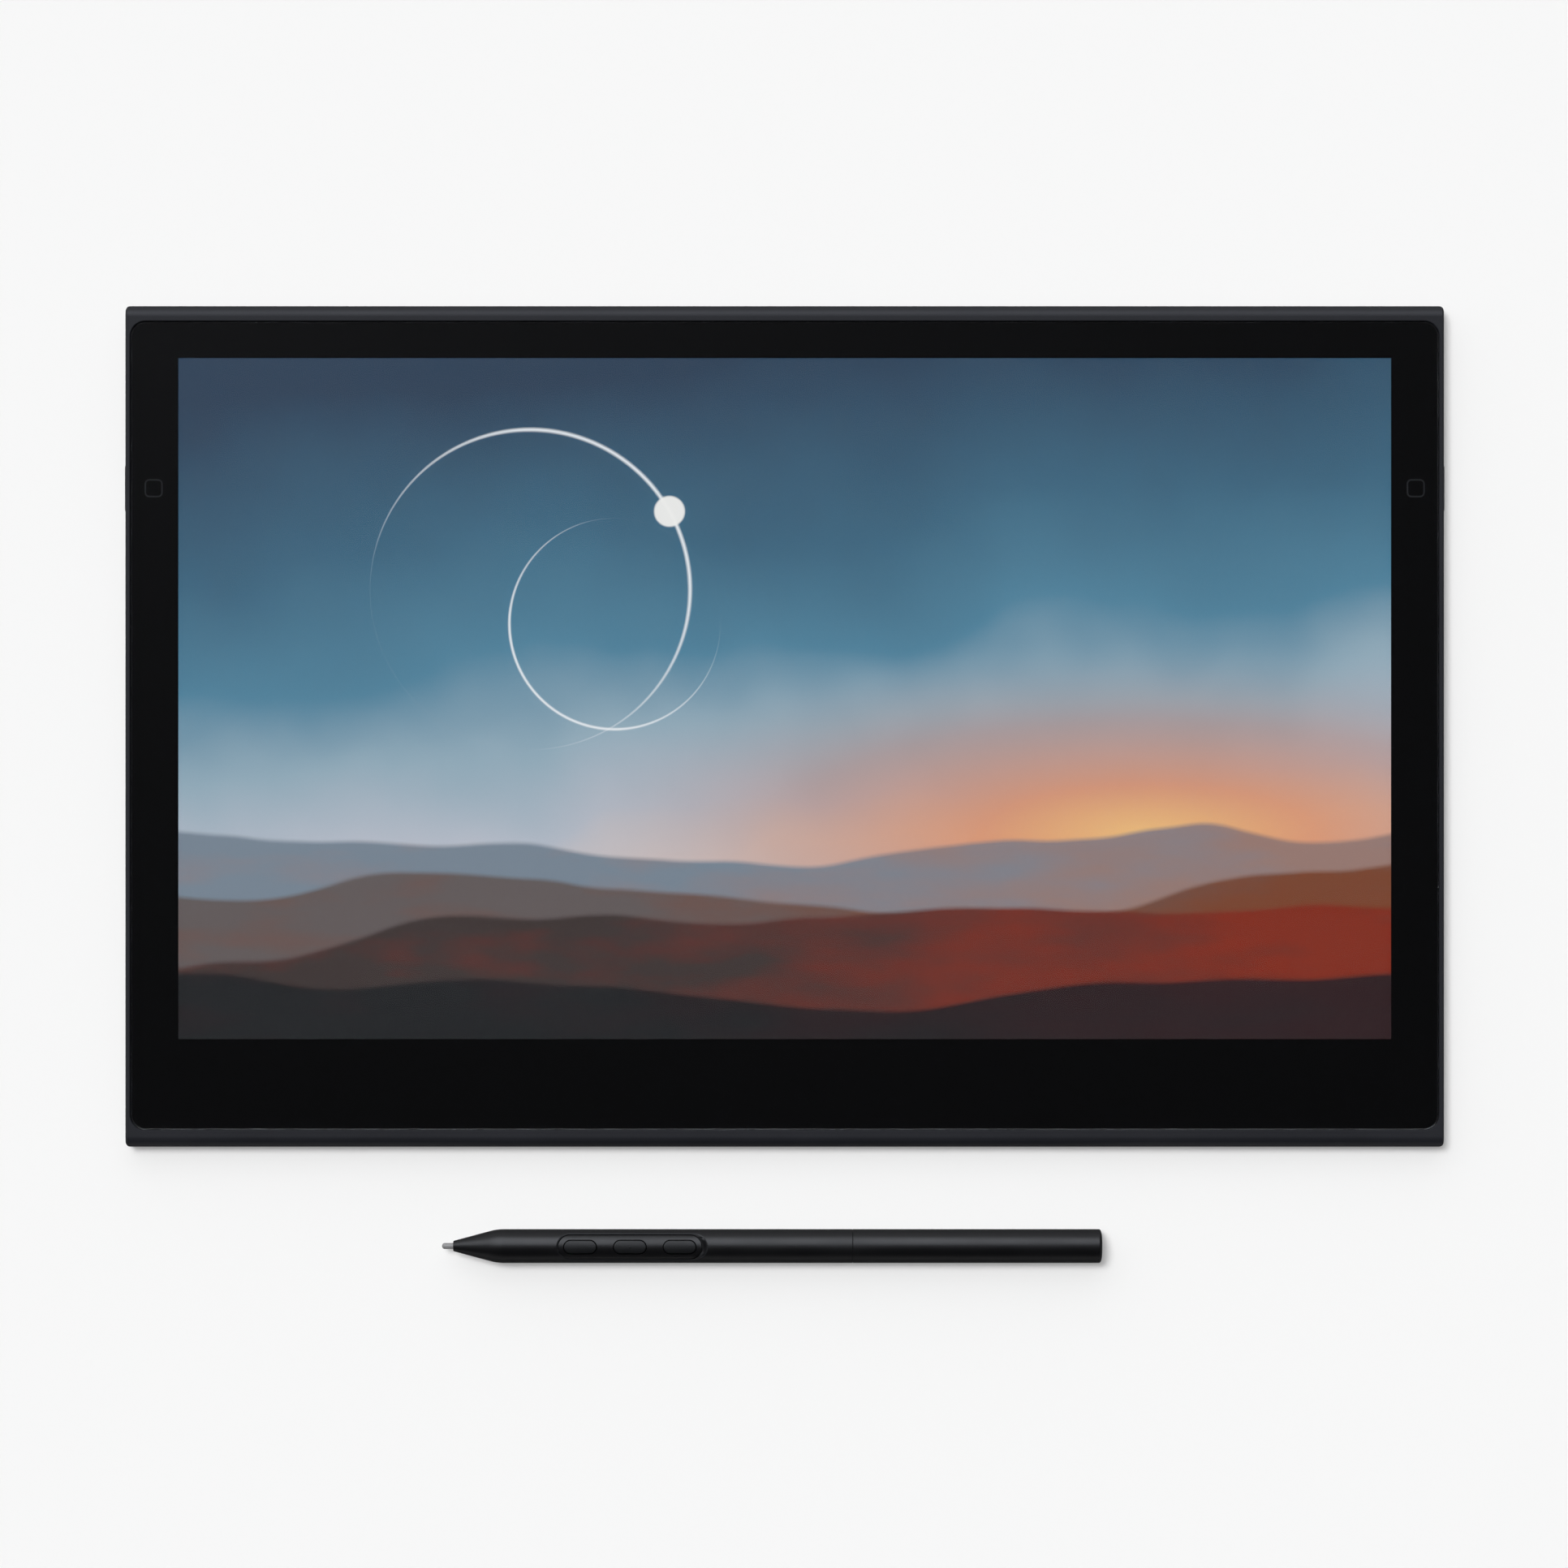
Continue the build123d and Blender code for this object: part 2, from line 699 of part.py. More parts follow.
# Small screws that hold the boards
with BuildPart() as board_screws:
    with BuildSketch(level(board_bottom)):
        with Locations(*main_screw_places, *usb_screw_places):
            RegularPolygon(small_head_radius, few_sides)
    extrude(amount=-small_head_height)
    with BuildSketch(level(board_bottom)):
        with Locations(*main_screw_places, *usb_screw_places):
            RegularPolygon(small_screw_radius, few_sides)
    extrude(amount=board_thickness + small_screw_length)
finish(board_screws, "board_screws")

# Pen barrel with its cone in one piece, bored in steps for the parts inside
with BuildPart() as pen_barrel:
    with BuildSketch(pen_side()):
        with BuildLine():
            Polyline(
                (nib_proud, bore_radius),
                (nib_proud, cone_face_radius),
                (nib_proud + cone_length, pen_radius),
                (pen_front_length, pen_radius),
                (pen_front_length, barrel_bore),
                (core_start, barrel_bore),
                (core_start, coil_radius + step_gap),
                (coil_start - step_gap, coil_radius + step_gap),
                (coil_start - step_gap, bore_radius),
                close=True,
            )
        make_face()
        fillet(vertices().sort_by_distance((nib_proud + cone_length, pen_radius))[0], cone_shoulder)
        chamfer(vertices().sort_by_distance((nib_proud, cone_face_radius))[0], cone_nose_chamfer)
        chamfer(vertices().sort_by_distance((pen_front_length, pen_radius))[0], seam_chamfer)
    revolve(axis=pen_axis)
    # Opening of the switch insert, with the shallow thumbnail notch behind it
    with BuildSketch(pen_level(insert_seat)):
        with Locations((insert_shift, 0)):
            SlotOverall(insert_length - notch_reach, insert_width)
    extrude(amount=pen_radius, mode=Mode.SUBTRACT)
    with BuildSketch(pen_level(pen_radius - notch_depth)):
        with Locations((insert_middle, 0)):
            SlotOverall(insert_length, insert_width)
    extrude(amount=pen_radius, mode=Mode.SUBTRACT)
finish(pen_barrel, "pen_barrel")

# Rear barrel: blind tube with a low domed end
with BuildPart() as pen_rear_barrel:
    with BuildSketch(pen_side()):
        with BuildLine():
            Polyline(
                (pen_length, 0),
                (pen_length - barrel_end, 0),
                (pen_length - barrel_end, barrel_bore),
                (pen_front_length + seam_gap, barrel_bore),
                (pen_front_length + seam_gap, pen_radius),
                (pen_length - tail_dome, pen_radius),
                (pen_length, pen_radius - tail_slope),
                close=True,
            )
        make_face()
        chamfer(vertices().sort_by_distance((pen_length - tail_dome, pen_radius))[0], tail_chamfer)
        chamfer(vertices().sort_by_distance((pen_front_length + seam_gap, pen_radius))[0], seam_chamfer)
    revolve(axis=pen_axis)
finish(pen_rear_barrel, "pen_rear_barrel")

# Nib, and the three spare ones in their store
with BuildPart() as pen_nib:
    with BuildSketch(pen_section(0)):
        Circle(nib_radius)
    extrude(amount=nib_length)
    chamfer(edges().sort_by(Axis.X)[0], nib_tip_length, nib_tip_drop)
finish(pen_nib, "pen_nib")

holder_end = holder_start + holder_length
with BuildPart() as spare_nibs:
    with BuildSketch(pen_section(holder_end - store_depth)):
        with PolarLocations(store_radius, store_count):
            RegularPolygon(nib_radius, few_sides)
    extrude(amount=nib_length)
    chamfer(edges().group_by(Axis.X)[-1], nib_tip_drop)
finish(spare_nibs, "spare_nibs")

with BuildPart() as nib_holder:
    with BuildSketch(pen_section(holder_start)):
        Circle(holder_radius)
    extrude(amount=holder_length)
    with BuildSketch(pen_section(holder_end)):
        with PolarLocations(store_radius, store_count):
            RegularPolygon(bore_radius, few_sides)
    extrude(amount=-store_depth, mode=Mode.SUBTRACT)
finish(nib_holder, "nib_holder")

# Ferrite tube with its winding, round the nib
with BuildPart() as pen_coil:
    winding_length = winding_share * coil_length
    with BuildSketch(pen_section(coil_start)):
        Circle(ferrite_radius)
    extrude(amount=coil_length)
    with BuildSketch(pen_section(coil_start + (coil_length - winding_length) / 2)):
        Circle(coil_radius)
    extrude(amount=winding_length)
    with BuildSketch(pen_section(coil_start)):
        Circle(ferrite_bore)
    extrude(amount=coil_length, mode=Mode.SUBTRACT)
finish(pen_coil, "pen_coil")

# Pressure sensor with the socket that grips the nib's end
with BuildPart() as pressure_sensor:
    with BuildSketch(pen_section(sensor_start)):
        Circle(sensor_radius)
    extrude(amount=sensor_length)
    with BuildSketch(pen_section(sensor_start)):
        Circle(bore_radius)
    extrude(amount=nib_length - sensor_start + nib_travel + step_gap, mode=Mode.SUBTRACT)
finish(pressure_sensor, "pressure_sensor")

# Carrier inside the barrel: bore for the sensor, channel for the board, flat seat, spigot
with BuildPart() as pen_core:
    with BuildSketch(pen_section(core_start)):
        Circle(core_radius)
    extrude(amount=holder_start - core_start)
    with BuildSketch(pen_section(core_start)):
        Circle(sensor_radius + step_gap)
    extrude(amount=sensor_end - core_start, mode=Mode.SUBTRACT)
    with BuildSketch(pen_section(sensor_end)):
        with Locations((0, (board_floor + switch_top) / 2)):
            Rectangle(pen_board_width + 2 * step_gap, switch_top - board_floor)
    extrude(amount=pen_board_length + step_gap, mode=Mode.SUBTRACT)
    with BuildSketch(pen_level(insert_seat)):
        with Locations((insert_middle, 0)):
            Rectangle(insert_length, pen_diameter)
    extrude(amount=pen_radius, mode=Mode.SUBTRACT)
    with BuildSketch(pen_level(switch_top - step_gap)):
        for place in pen_button_places:
            with Locations((place, 0)):
                Rectangle(
                    pen_button_length + 2 * (pen_flange + step_gap),
                    pen_button_width + 2 * step_gap,
                )
    extrude(amount=pen_radius, mode=Mode.SUBTRACT)
finish(pen_core, "pen_core")

# Long board of the pen with its three push switches
with BuildPart() as pen_board:
    with BuildSketch(pen_level(board_floor)):
        with Locations(((sensor_end + pen_board_end) / 2, 0)):
            Rectangle(pen_board_length, pen_board_width)
    extrude(amount=pen_board_thickness)
    with BuildSketch(pen_level(pen_board_rise)):
        for place in pen_button_places:
            with Locations((place, 0)):
                Rectangle(pen_switch_length, pen_switch_width)
        with Locations((pen_board_end - pen_chip_setback, 0)):
            Rectangle(pen_chip_length, pen_switch_width)
    extrude(amount=pen_switch_height)
finish(pen_board, "pen_board")

# Insert that follows the barrel's round, with the slots of the three buttons
with BuildPart() as pen_insert:
    with BuildSketch(pen_level(insert_seat)):
        with Locations((insert_shift, 0)):
            SlotOverall(insert_length - notch_reach - 2 * insert_gap, insert_width - 2 * insert_gap)
        for place in pen_button_places:
            with Locations((place, 0)):
                SlotOverall(pen_button_length, pen_button_width, mode=Mode.SUBTRACT)
    extrude(amount=pen_radius)
    with BuildSketch(pen_section(insert_place)):
        Circle(pen_radius - insert_sink)
    extrude(amount=insert_length, mode=Mode.INTERSECT)
finish(pen_insert, "pen_switch_insert")

# Buttons of the pen, flatter than the barrel, each with a flange under the insert
crown_rise = pen_radius - pen_button_sink
for place, name in zip(pen_button_places, ("front", "middle", "rear")):
    with BuildPart() as pen_button:
        with BuildSketch(pen_level(flange_bottom)):
            with Locations((place, 0)):
                SlotOverall(
                    pen_button_length - 2 * pen_button_gap, pen_button_width - 2 * pen_button_gap
                )
        extrude(amount=pen_radius)
        with BuildSketch(pen_section(place - pen_button_length)):
            with Locations((0, crown_rise - pen_button_crown)):
                Circle(pen_button_crown)
        extrude(amount=2 * pen_button_length, mode=Mode.INTERSECT)
        chamfer(faces().sort_by(Axis.Z)[-1].edges(), pen_button_edge)
        with BuildSketch(pen_level(flange_bottom)):
            with Locations((place, 0)):
                Rectangle(pen_button_length + 2 * pen_flange, pen_button_width - 2 * pen_button_gap)
        extrude(amount=pen_flange_thickness)
        if name == "middle":
            with BuildSketch(pen_level(crown_rise - tactile_dot_rise)):
                with Locations((place, 0)):
                    RegularPolygon(tactile_dot_radius, few_sides)
            extrude(amount=2 * tactile_dot_rise)
    finish(pen_button, f"pen_button_{name}")
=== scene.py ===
from math import cos, pi, radians, sin

import bmesh
import bpy
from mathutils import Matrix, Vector


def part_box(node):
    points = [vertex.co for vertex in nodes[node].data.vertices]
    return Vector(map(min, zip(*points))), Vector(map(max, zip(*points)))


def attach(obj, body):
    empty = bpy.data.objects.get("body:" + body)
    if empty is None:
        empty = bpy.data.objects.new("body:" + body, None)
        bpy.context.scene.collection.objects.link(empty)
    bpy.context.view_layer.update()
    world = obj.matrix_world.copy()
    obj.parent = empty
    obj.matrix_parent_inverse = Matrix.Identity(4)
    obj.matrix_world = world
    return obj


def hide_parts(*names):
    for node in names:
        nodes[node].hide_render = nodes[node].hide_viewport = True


# Slim pen display with its pen, seen from straight above. Sizes are in metres.

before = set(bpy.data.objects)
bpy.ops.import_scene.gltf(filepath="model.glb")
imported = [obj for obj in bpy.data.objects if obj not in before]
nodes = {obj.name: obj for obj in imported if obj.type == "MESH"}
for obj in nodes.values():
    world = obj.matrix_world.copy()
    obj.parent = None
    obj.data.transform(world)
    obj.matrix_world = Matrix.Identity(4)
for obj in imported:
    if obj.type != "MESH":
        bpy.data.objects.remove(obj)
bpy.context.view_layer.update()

MM = 0.001

# Places read from the frame
tablet_high = Vector(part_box("frame")[1])
glass_low, glass_high = (Vector(corner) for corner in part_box("cover_glass"))
panel_low, panel_high = (Vector(corner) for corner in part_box("display_panel"))
barrel_low, barrel_high = (Vector(corner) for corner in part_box("pen_barrel"))
rear_low, rear_high = (Vector(corner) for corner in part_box("pen_rear_barrel"))
nib_low, nib_high = (Vector(corner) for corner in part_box("pen_nib"))
key_low, key_high = (Vector(corner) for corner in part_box("left_button"))
board_low = Vector(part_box("main_board")[0])
socket_low, socket_high = (Vector(corner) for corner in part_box("usb_socket_right"))
coil_low, coil_high = (Vector(corner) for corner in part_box("pen_coil"))
front_high = Vector(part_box("pen_button_front")[1])
insert_low, insert_high = (Vector(corner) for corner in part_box("pen_switch_insert"))

# Lit area of the panel, inside its black borders
PANEL_BORDER = 1.6 * MM
PANEL_LOWER_BORDER = 5.0 * MM
lit_low = Vector((panel_low.x + PANEL_BORDER, panel_low.y + PANEL_LOWER_BORDER))
lit_high = Vector((panel_high.x - PANEL_BORDER, panel_high.y - PANEL_BORDER))

# Print on the inside of the glass
PRINT_INSET = 0.25 * MM
PRINT_LIFT = 0.015 * MM
PRINT_THICKNESS = 0.02 * MM
PRINT_CORNER = 3.4 * MM
PRINT_INNER_CORNER = 0.02 * MM
MARK_SIZE = 4.5 * MM
MARK_LINE = 0.38 * MM
MARK_CORNER = 1.2 * MM
MARK_SETBACK = 5.6 * MM

# Camera
CAMERA_LENS = 150.0
CAMERA_DISTANCE = 1615 * MM
CAMERA_NEAR = 10 * MM
CAMERA_X = -0.17 * MM
CAMERA_Y = 0.13 * MM

# Pen: wall and end of the rear barrel, the seam in front of it, and the round end of the nib
BARREL_WALL = 0.85 * MM
BARREL_END = 5.0 * MM
CAP_DEPTH = 0.8 * MM
CAP_FULLNESS = 5.0
CAP_STEPS = 20
SEAM_GAP = 0.02 * MM
SEAM_CHAMFER = 0.05 * MM
NIB_ROUND = 0.7 * MM
NIB_STEPS = 12
LATHE_STEPS = 128
TOP_LINE_REACH = 0.01 * MM

# Opening of the insert in the pen's barrel, and its rim: bumped, and paler as a painted highlight
# of its edge
OPENING_LENGTH = 37.0 * MM
OPENING_WIDTH = 6.2 * MM
OPENING_GAP = 0.24 * MM
RIM_WIDTH = 0.24 * MM
RIM_DEPTH = 0.14 * MM
RIM_OVERLAP = 0.02 * MM
RIM_PAINTED_HIGHLIGHT = 0.6

# Thumbnail notch behind the insert: heights are from the pen's axis
NOTCH_FLOOR = 3.3 * MM
NOTCH_HALF = 2.35 * MM
NOTCH_LIP = 0.22 * MM
NOTCH_SUNK = 0.04 * MM
NOTCH_SCOOP = 1.6
NOTCH_ACROSS = 32
NOTCH_ALONG = 10

# Pen buttons: oval cap with a crown across the pen, and the dot on the middle one
BUTTON_GAP = 0.18 * MM
BUTTON_LENGTH = 8.4 * MM - 2 * BUTTON_GAP
BUTTON_WIDTH = 3.63 * MM - 2 * BUTTON_GAP
BUTTON_CROWN = 4.1 * MM
BUTTON_EDGE = 0.2 * MM
BUTTON_END_STEPS = 16
BUTTON_SIDE_STEPS = 8
BUTTON_ACROSS = 24
FLANGE_HEIGHT = 0.5 * MM
DOT_RADIUS = 0.3 * MM
DOT_SUNK = 0.05 * MM
DOT_AROUND = 24
DOT_UP = 6

# Meshes: doubled places closer than this are joined, edges sharper than this stay sharp
WELD = 0.001 * MM
SHARP_FROM = 35.0

# Materials: roughness of soft coats seen aslant, and sizes of drawn details
ASLANT_ROUGHNESS = 0.95
PANEL_FACE_DEPTH = 0.05 * MM
BOARD_TOP = 0.61 * MM
NO_PARTS_ABOVE = 1.0
TONGUE_HALF_WIDTH = 3.4 * MM
TONGUE_HALF_HEIGHT = 0.37 * MM
CONTACT_FROM = 0.34 * MM
CONTACT_PITCH = 0.5 * MM
TRACK_PITCH = 0.5 * MM
WIRE_PITCH = 0.16 * MM
WIRE_FROM = 1.85 * MM

# Light: a soft box behind the object at the left, a smaller light nearly overhead, one from
# below for views of the underside, and the room
BOX_TILT = 39.0
BOX_TURN = 18.0
BOX_SPREAD = 54.0
BOX_GLOSS = 3.4
BOX_TINT = (0.94, 0.98, 1.06)
BOX_SOFT = 0.4
TOP_TILT = 21.0
TOP_TURN = 45.0
TOP_SPREAD = 20.0
TOP_STRENGTH = 2.25
UNDER_TILT = 180.0
UNDER_SPREAD = 10.0
UNDER_STRENGTH = 1.2
SKY_FROM = (-0.38, 0.925, 0.0)
SKY_START = 0.1
SKY_END = 0.85
SKY_DARK = 0.06
SKY_BRIGHT = 0.8

# Background: the floor, and the band of the room that gloss shows near the horizon
FLOOR_SIZE = 12.0
FLOOR_SHADE = 0.945
FLOOR_GLOW = 0.3
BACKDROP = 0.95
BAND_FROM = 0.02
BAND_TO = 0.07


def srgb(red, green, blue):
    """Linear colour of an 8-bit screen colour."""
    def linear(value):
        share = value / 255
        return share / 12.92 if share <= 0.04045 else ((share + 0.055) / 1.055) ** 2.4
    return (linear(red), linear(green), linear(blue), 1.0)


class Look:
    """A material with one Principled shader and short calls for its nodes."""

    def __init__(self, name, colour, roughness, **sockets):
        self.material = bpy.data.materials.new(name)
        self.material.use_nodes = True
        self.tree = self.material.node_tree
        self.shader = self.tree.nodes["Principled BSDF"]
        self.set("Base Color", colour)
        self.set("Roughness", roughness)
        for socket, value in sockets.items():
            self.set(socket.replace("_", " "), value)
        self.place = self.add("ShaderNodeTexCoord").outputs["Object"]
        self.normal = None

    def add(self, kind, **settings):
        node = self.tree.nodes.new(kind)
        for name, value in settings.items():
            setattr(node, name, value)
        return node

    def plug(self, socket, value):
        """Link an output, or set a plain value."""
        if isinstance(value, bpy.types.NodeSocket):
            self.tree.links.new(value, socket)
        else:
            socket.default_value = value

    def set(self, socket, value):
        self.plug(self.shader.inputs[socket], value)

    def math(self, operation, first, second=0.0, third=0.0):
        node = self.add("ShaderNodeMath", operation=operation)
        for socket, value in zip(node.inputs, (first, second, third)):
            self.plug(socket, value)
        return node.outputs[0]

    def far(self, first, second):
        """Distance of a place from its two offsets."""
        squares = [self.math("MULTIPLY", offset, offset) for offset in (first, second)]
        return self.math("SQRT", self.math("ADD", *squares))

    def axes(self):
        """The three numbers of the place in the part."""
        node = self.add("ShaderNodeSeparateXYZ")
        self.plug(node.inputs[0], self.place)
        return node.outputs[0], node.outputs[1], node.outputs[2]

    def vector(self, x=0.0, y=0.0, z=0.0):
        node = self.add("ShaderNodeCombineXYZ")
        for socket, value in zip(node.inputs, (x, y, z)):
            self.plug(socket, value)
        return node.outputs[0]

    def noise(self, scale, detail=2.0, roughness=0.5, place=None):
        node = self.add("ShaderNodeTexNoise")
        self.plug(node.inputs["Vector"], place or self.place)
        for socket, value in (("Scale", scale), ("Detail", detail), ("Roughness", roughness)):
            self.plug(node.inputs[socket], value)
        return node.outputs[0]

    def cells(self, scale):
        node = self.add("ShaderNodeTexVoronoi")
        self.plug(node.inputs["Vector"], self.place)
        self.plug(node.inputs["Scale"], scale)
        return node.outputs["Distance"]

    def fit(self, value, low, high, start, end):
        """A number moved from one range to another, held at its ends."""
        node = self.add("ShaderNodeMapRange")
        for socket, item in zip(node.inputs, (value, low, high, start, end)):
            self.plug(socket, item)
        return node.outputs[0]

    def mix(self, share, first, second):
        """Colour between two others."""
        node = self.add("ShaderNodeMix", data_type="RGBA")
        self.plug(node.inputs[0], share)
        self.plug(node.inputs[6], first)
        self.plug(node.inputs[7], second)
        return node.outputs[2]

    def ramp(self, value, stops):
        node = self.add("ShaderNodeValToRGB")
        self.plug(node.inputs[0], value)
        band = node.color_ramp.elements
        while len(band) < len(stops):
            band.new(0.5)
        for element, (position, colour) in zip(band, stops):
            element.position = position
            element.color = colour
        return node.outputs[0]

    def between(self, value, low, high):
        """1 where a number lies between two others."""
        above = self.math("GREATER_THAN", value, low)
        below = self.math("LESS_THAN", value, high)
        return self.math("MULTIPLY", above, below)

    def bump(self, height, depth, strength=1.0):
        node = self.add("ShaderNodeBump")
        self.plug(node.inputs["Height"], height)
        self.plug(node.inputs["Distance"], depth)
        self.plug(node.inputs["Strength"], strength)
        if self.normal:
            self.plug(node.inputs["Normal"], self.normal)
        self.normal = node.outputs[0]
        self.set("Normal", self.normal)

    def matt_aslant(self, start, end):
        """Less gloss where the surface is seen aslant, as soft coats have."""
        facing = self.add("ShaderNodeLayerWeight").outputs["Facing"]
        gloss = self.shader.inputs["Roughness"].links[0].from_socket
        rest = self.math("SUBTRACT", ASLANT_ROUGHNESS, gloss)
        share = self.fit(facing, start, end, 0.0, 1.0)
        self.set("Roughness", self.math("MULTIPLY_ADD", rest, share, gloss))
        return self


def grained(name, dark, light, grain, depth, rough, **sockets):
    """Moulded or painted surface: fine grain, a slight cloud in its colour, uneven gloss."""
    look = Look(name, light, rough, **sockets)
    cloud = look.noise(60.0, detail=3.0)
    fine = look.noise(grain, detail=2.0, roughness=0.6)
    tint = look.math("ADD", look.math("MULTIPLY", cloud, 0.5), look.math("MULTIPLY", fine, 0.5))
    look.set("Base Color", look.mix(look.fit(tint, 0.3, 0.7, 0.0, 1.0), dark, light))
    look.set("Roughness", look.fit(cloud, 0.3, 0.7, rough - 0.04, rough + 0.04))
    look.bump(fine, depth)
    return look


def housing_paint():
    """Fine-blasted dark grey coat on the metal housing, with a few paler grains in it."""
    look = Look("housing_paint", srgb(34, 36, 40), 0.5, Specular_IOR_Level=0.165)
    cloud = look.noise(35.0, detail=3.0)
    fine = look.noise(5200.0, detail=2.0, roughness=0.65)
    sparkle = look.cells(6500.0)
    blend = look.math("ADD", look.math("MULTIPLY", cloud, 0.45), look.math("MULTIPLY", fine, 0.55))
    coat = look.mix(look.fit(blend, 0.3, 0.7, 0.0, 1.0), srgb(24, 25, 29), srgb(33, 34, 39))
    fleck = look.fit(sparkle, 0.0, 0.22, 0.35, 0.0)
    look.set("Base Color", look.mix(fleck, coat, srgb(56, 58, 64)))
    look.set("Roughness", look.fit(cloud, 0.3, 0.7, 0.46, 0.54))
    look.bump(fine, 0.004 * MM)
    return look.matt_aslant(0.3, 0.7)


def etched_glass():
    """Clear glass with the fine etched face that pens are drawn on."""
    look = Look(
        "etched_glass", (1.0, 1.0, 1.0, 1.0), 0.15, Transmission_Weight=1.0, IOR=1.45,
        Specular_IOR_Level=0.16,
    )
    tooth = look.noise(2600.0, detail=1.0)
    tint = look.mix(tooth, (0.985, 0.99, 0.992, 1.0), (1.0, 1.0, 1.0, 1.0))
    look.set("Base Color", tint)
    look.bump(tooth, 0.0004 * MM, 0.4)
    return look


def ink(name, colour):
    """Print on the back of the glass, with the faint mesh of its screen."""
    look = Look(name, colour, 0.6, Specular_IOR_Level=0.0)
    mesh = look.noise(3000.0, detail=1.0)
    darker = tuple(0.75 * value for value in colour[:3]) + (1.0,)
    look.set("Base Color", look.mix(mesh, darker, colour))
    look.set("Roughness", look.fit(mesh, 0.3, 0.7, 0.55, 0.65))
    return look


# Picture on the screen. Places are shares of the lit area, measured from its lower left corner.
# Sky: height and colour
SKY_STOPS = (
    (0.26, srgb(213, 200, 198)),
    (0.34, srgb(181, 188, 200)),
    (0.46, srgb(146, 171, 186)),
    (0.58, srgb(78, 129, 155)),
    (0.76, srgb(56, 100, 126)),
    (1.0, srgb(33, 58, 82)),
)
SKY_LEAN = -0.16
SKY_DRIFT = 0.05

# Glow: its middle, its stretch across and upwards, its reach, and colours by distance
GLOW_MIDDLE = (0.80, 0.30)
GLOW_STRETCH = (0.9, 3.0)
GLOW_REACH = 0.85
GLOW_STOPS = (
    (0.0, srgb(238, 190, 120)),
    (0.22, srgb(222, 128, 46)),
    (0.5, srgb(181, 107, 60)),
    (GLOW_REACH, srgb(146, 171, 186)),
)

# Rings: middle, radius, width, and the side where they are widest.
# Disc: middle, and the two radii of its soft rim
RINGS = (
    (0.29, 0.66, 0.235, 0.0042, 1.0),
    (0.36, 0.61, 0.155, 0.0030, -1.0),
)
RING_COLOUR = srgb(236, 240, 244)
DISC_MIDDLE = (0.405, 0.775)
DISC_RIM = (0.021, 0.024)
DISC_COLOUR = srgb(240, 240, 238)

# Hills, from far to near: foot, swell, scale and seed of the crest,
# and colours towards the glow and away from it
HILLS = (
    (0.285, 0.050, 3.1, 2.0, srgb(150, 120, 112), srgb(118, 132, 146)),
    (0.225, 0.075, 2.3, 7.0, srgb(120, 66, 40), srgb(96, 88, 88)),
    (0.150, 0.095, 1.9, 12.5, srgb(128, 40, 18), srgb(58, 48, 46)),
    (0.060, 0.120, 1.5, 19.0, srgb(42, 21, 24), srgb(22, 24, 26)),
)
CREST_SOFTNESS = 0.004


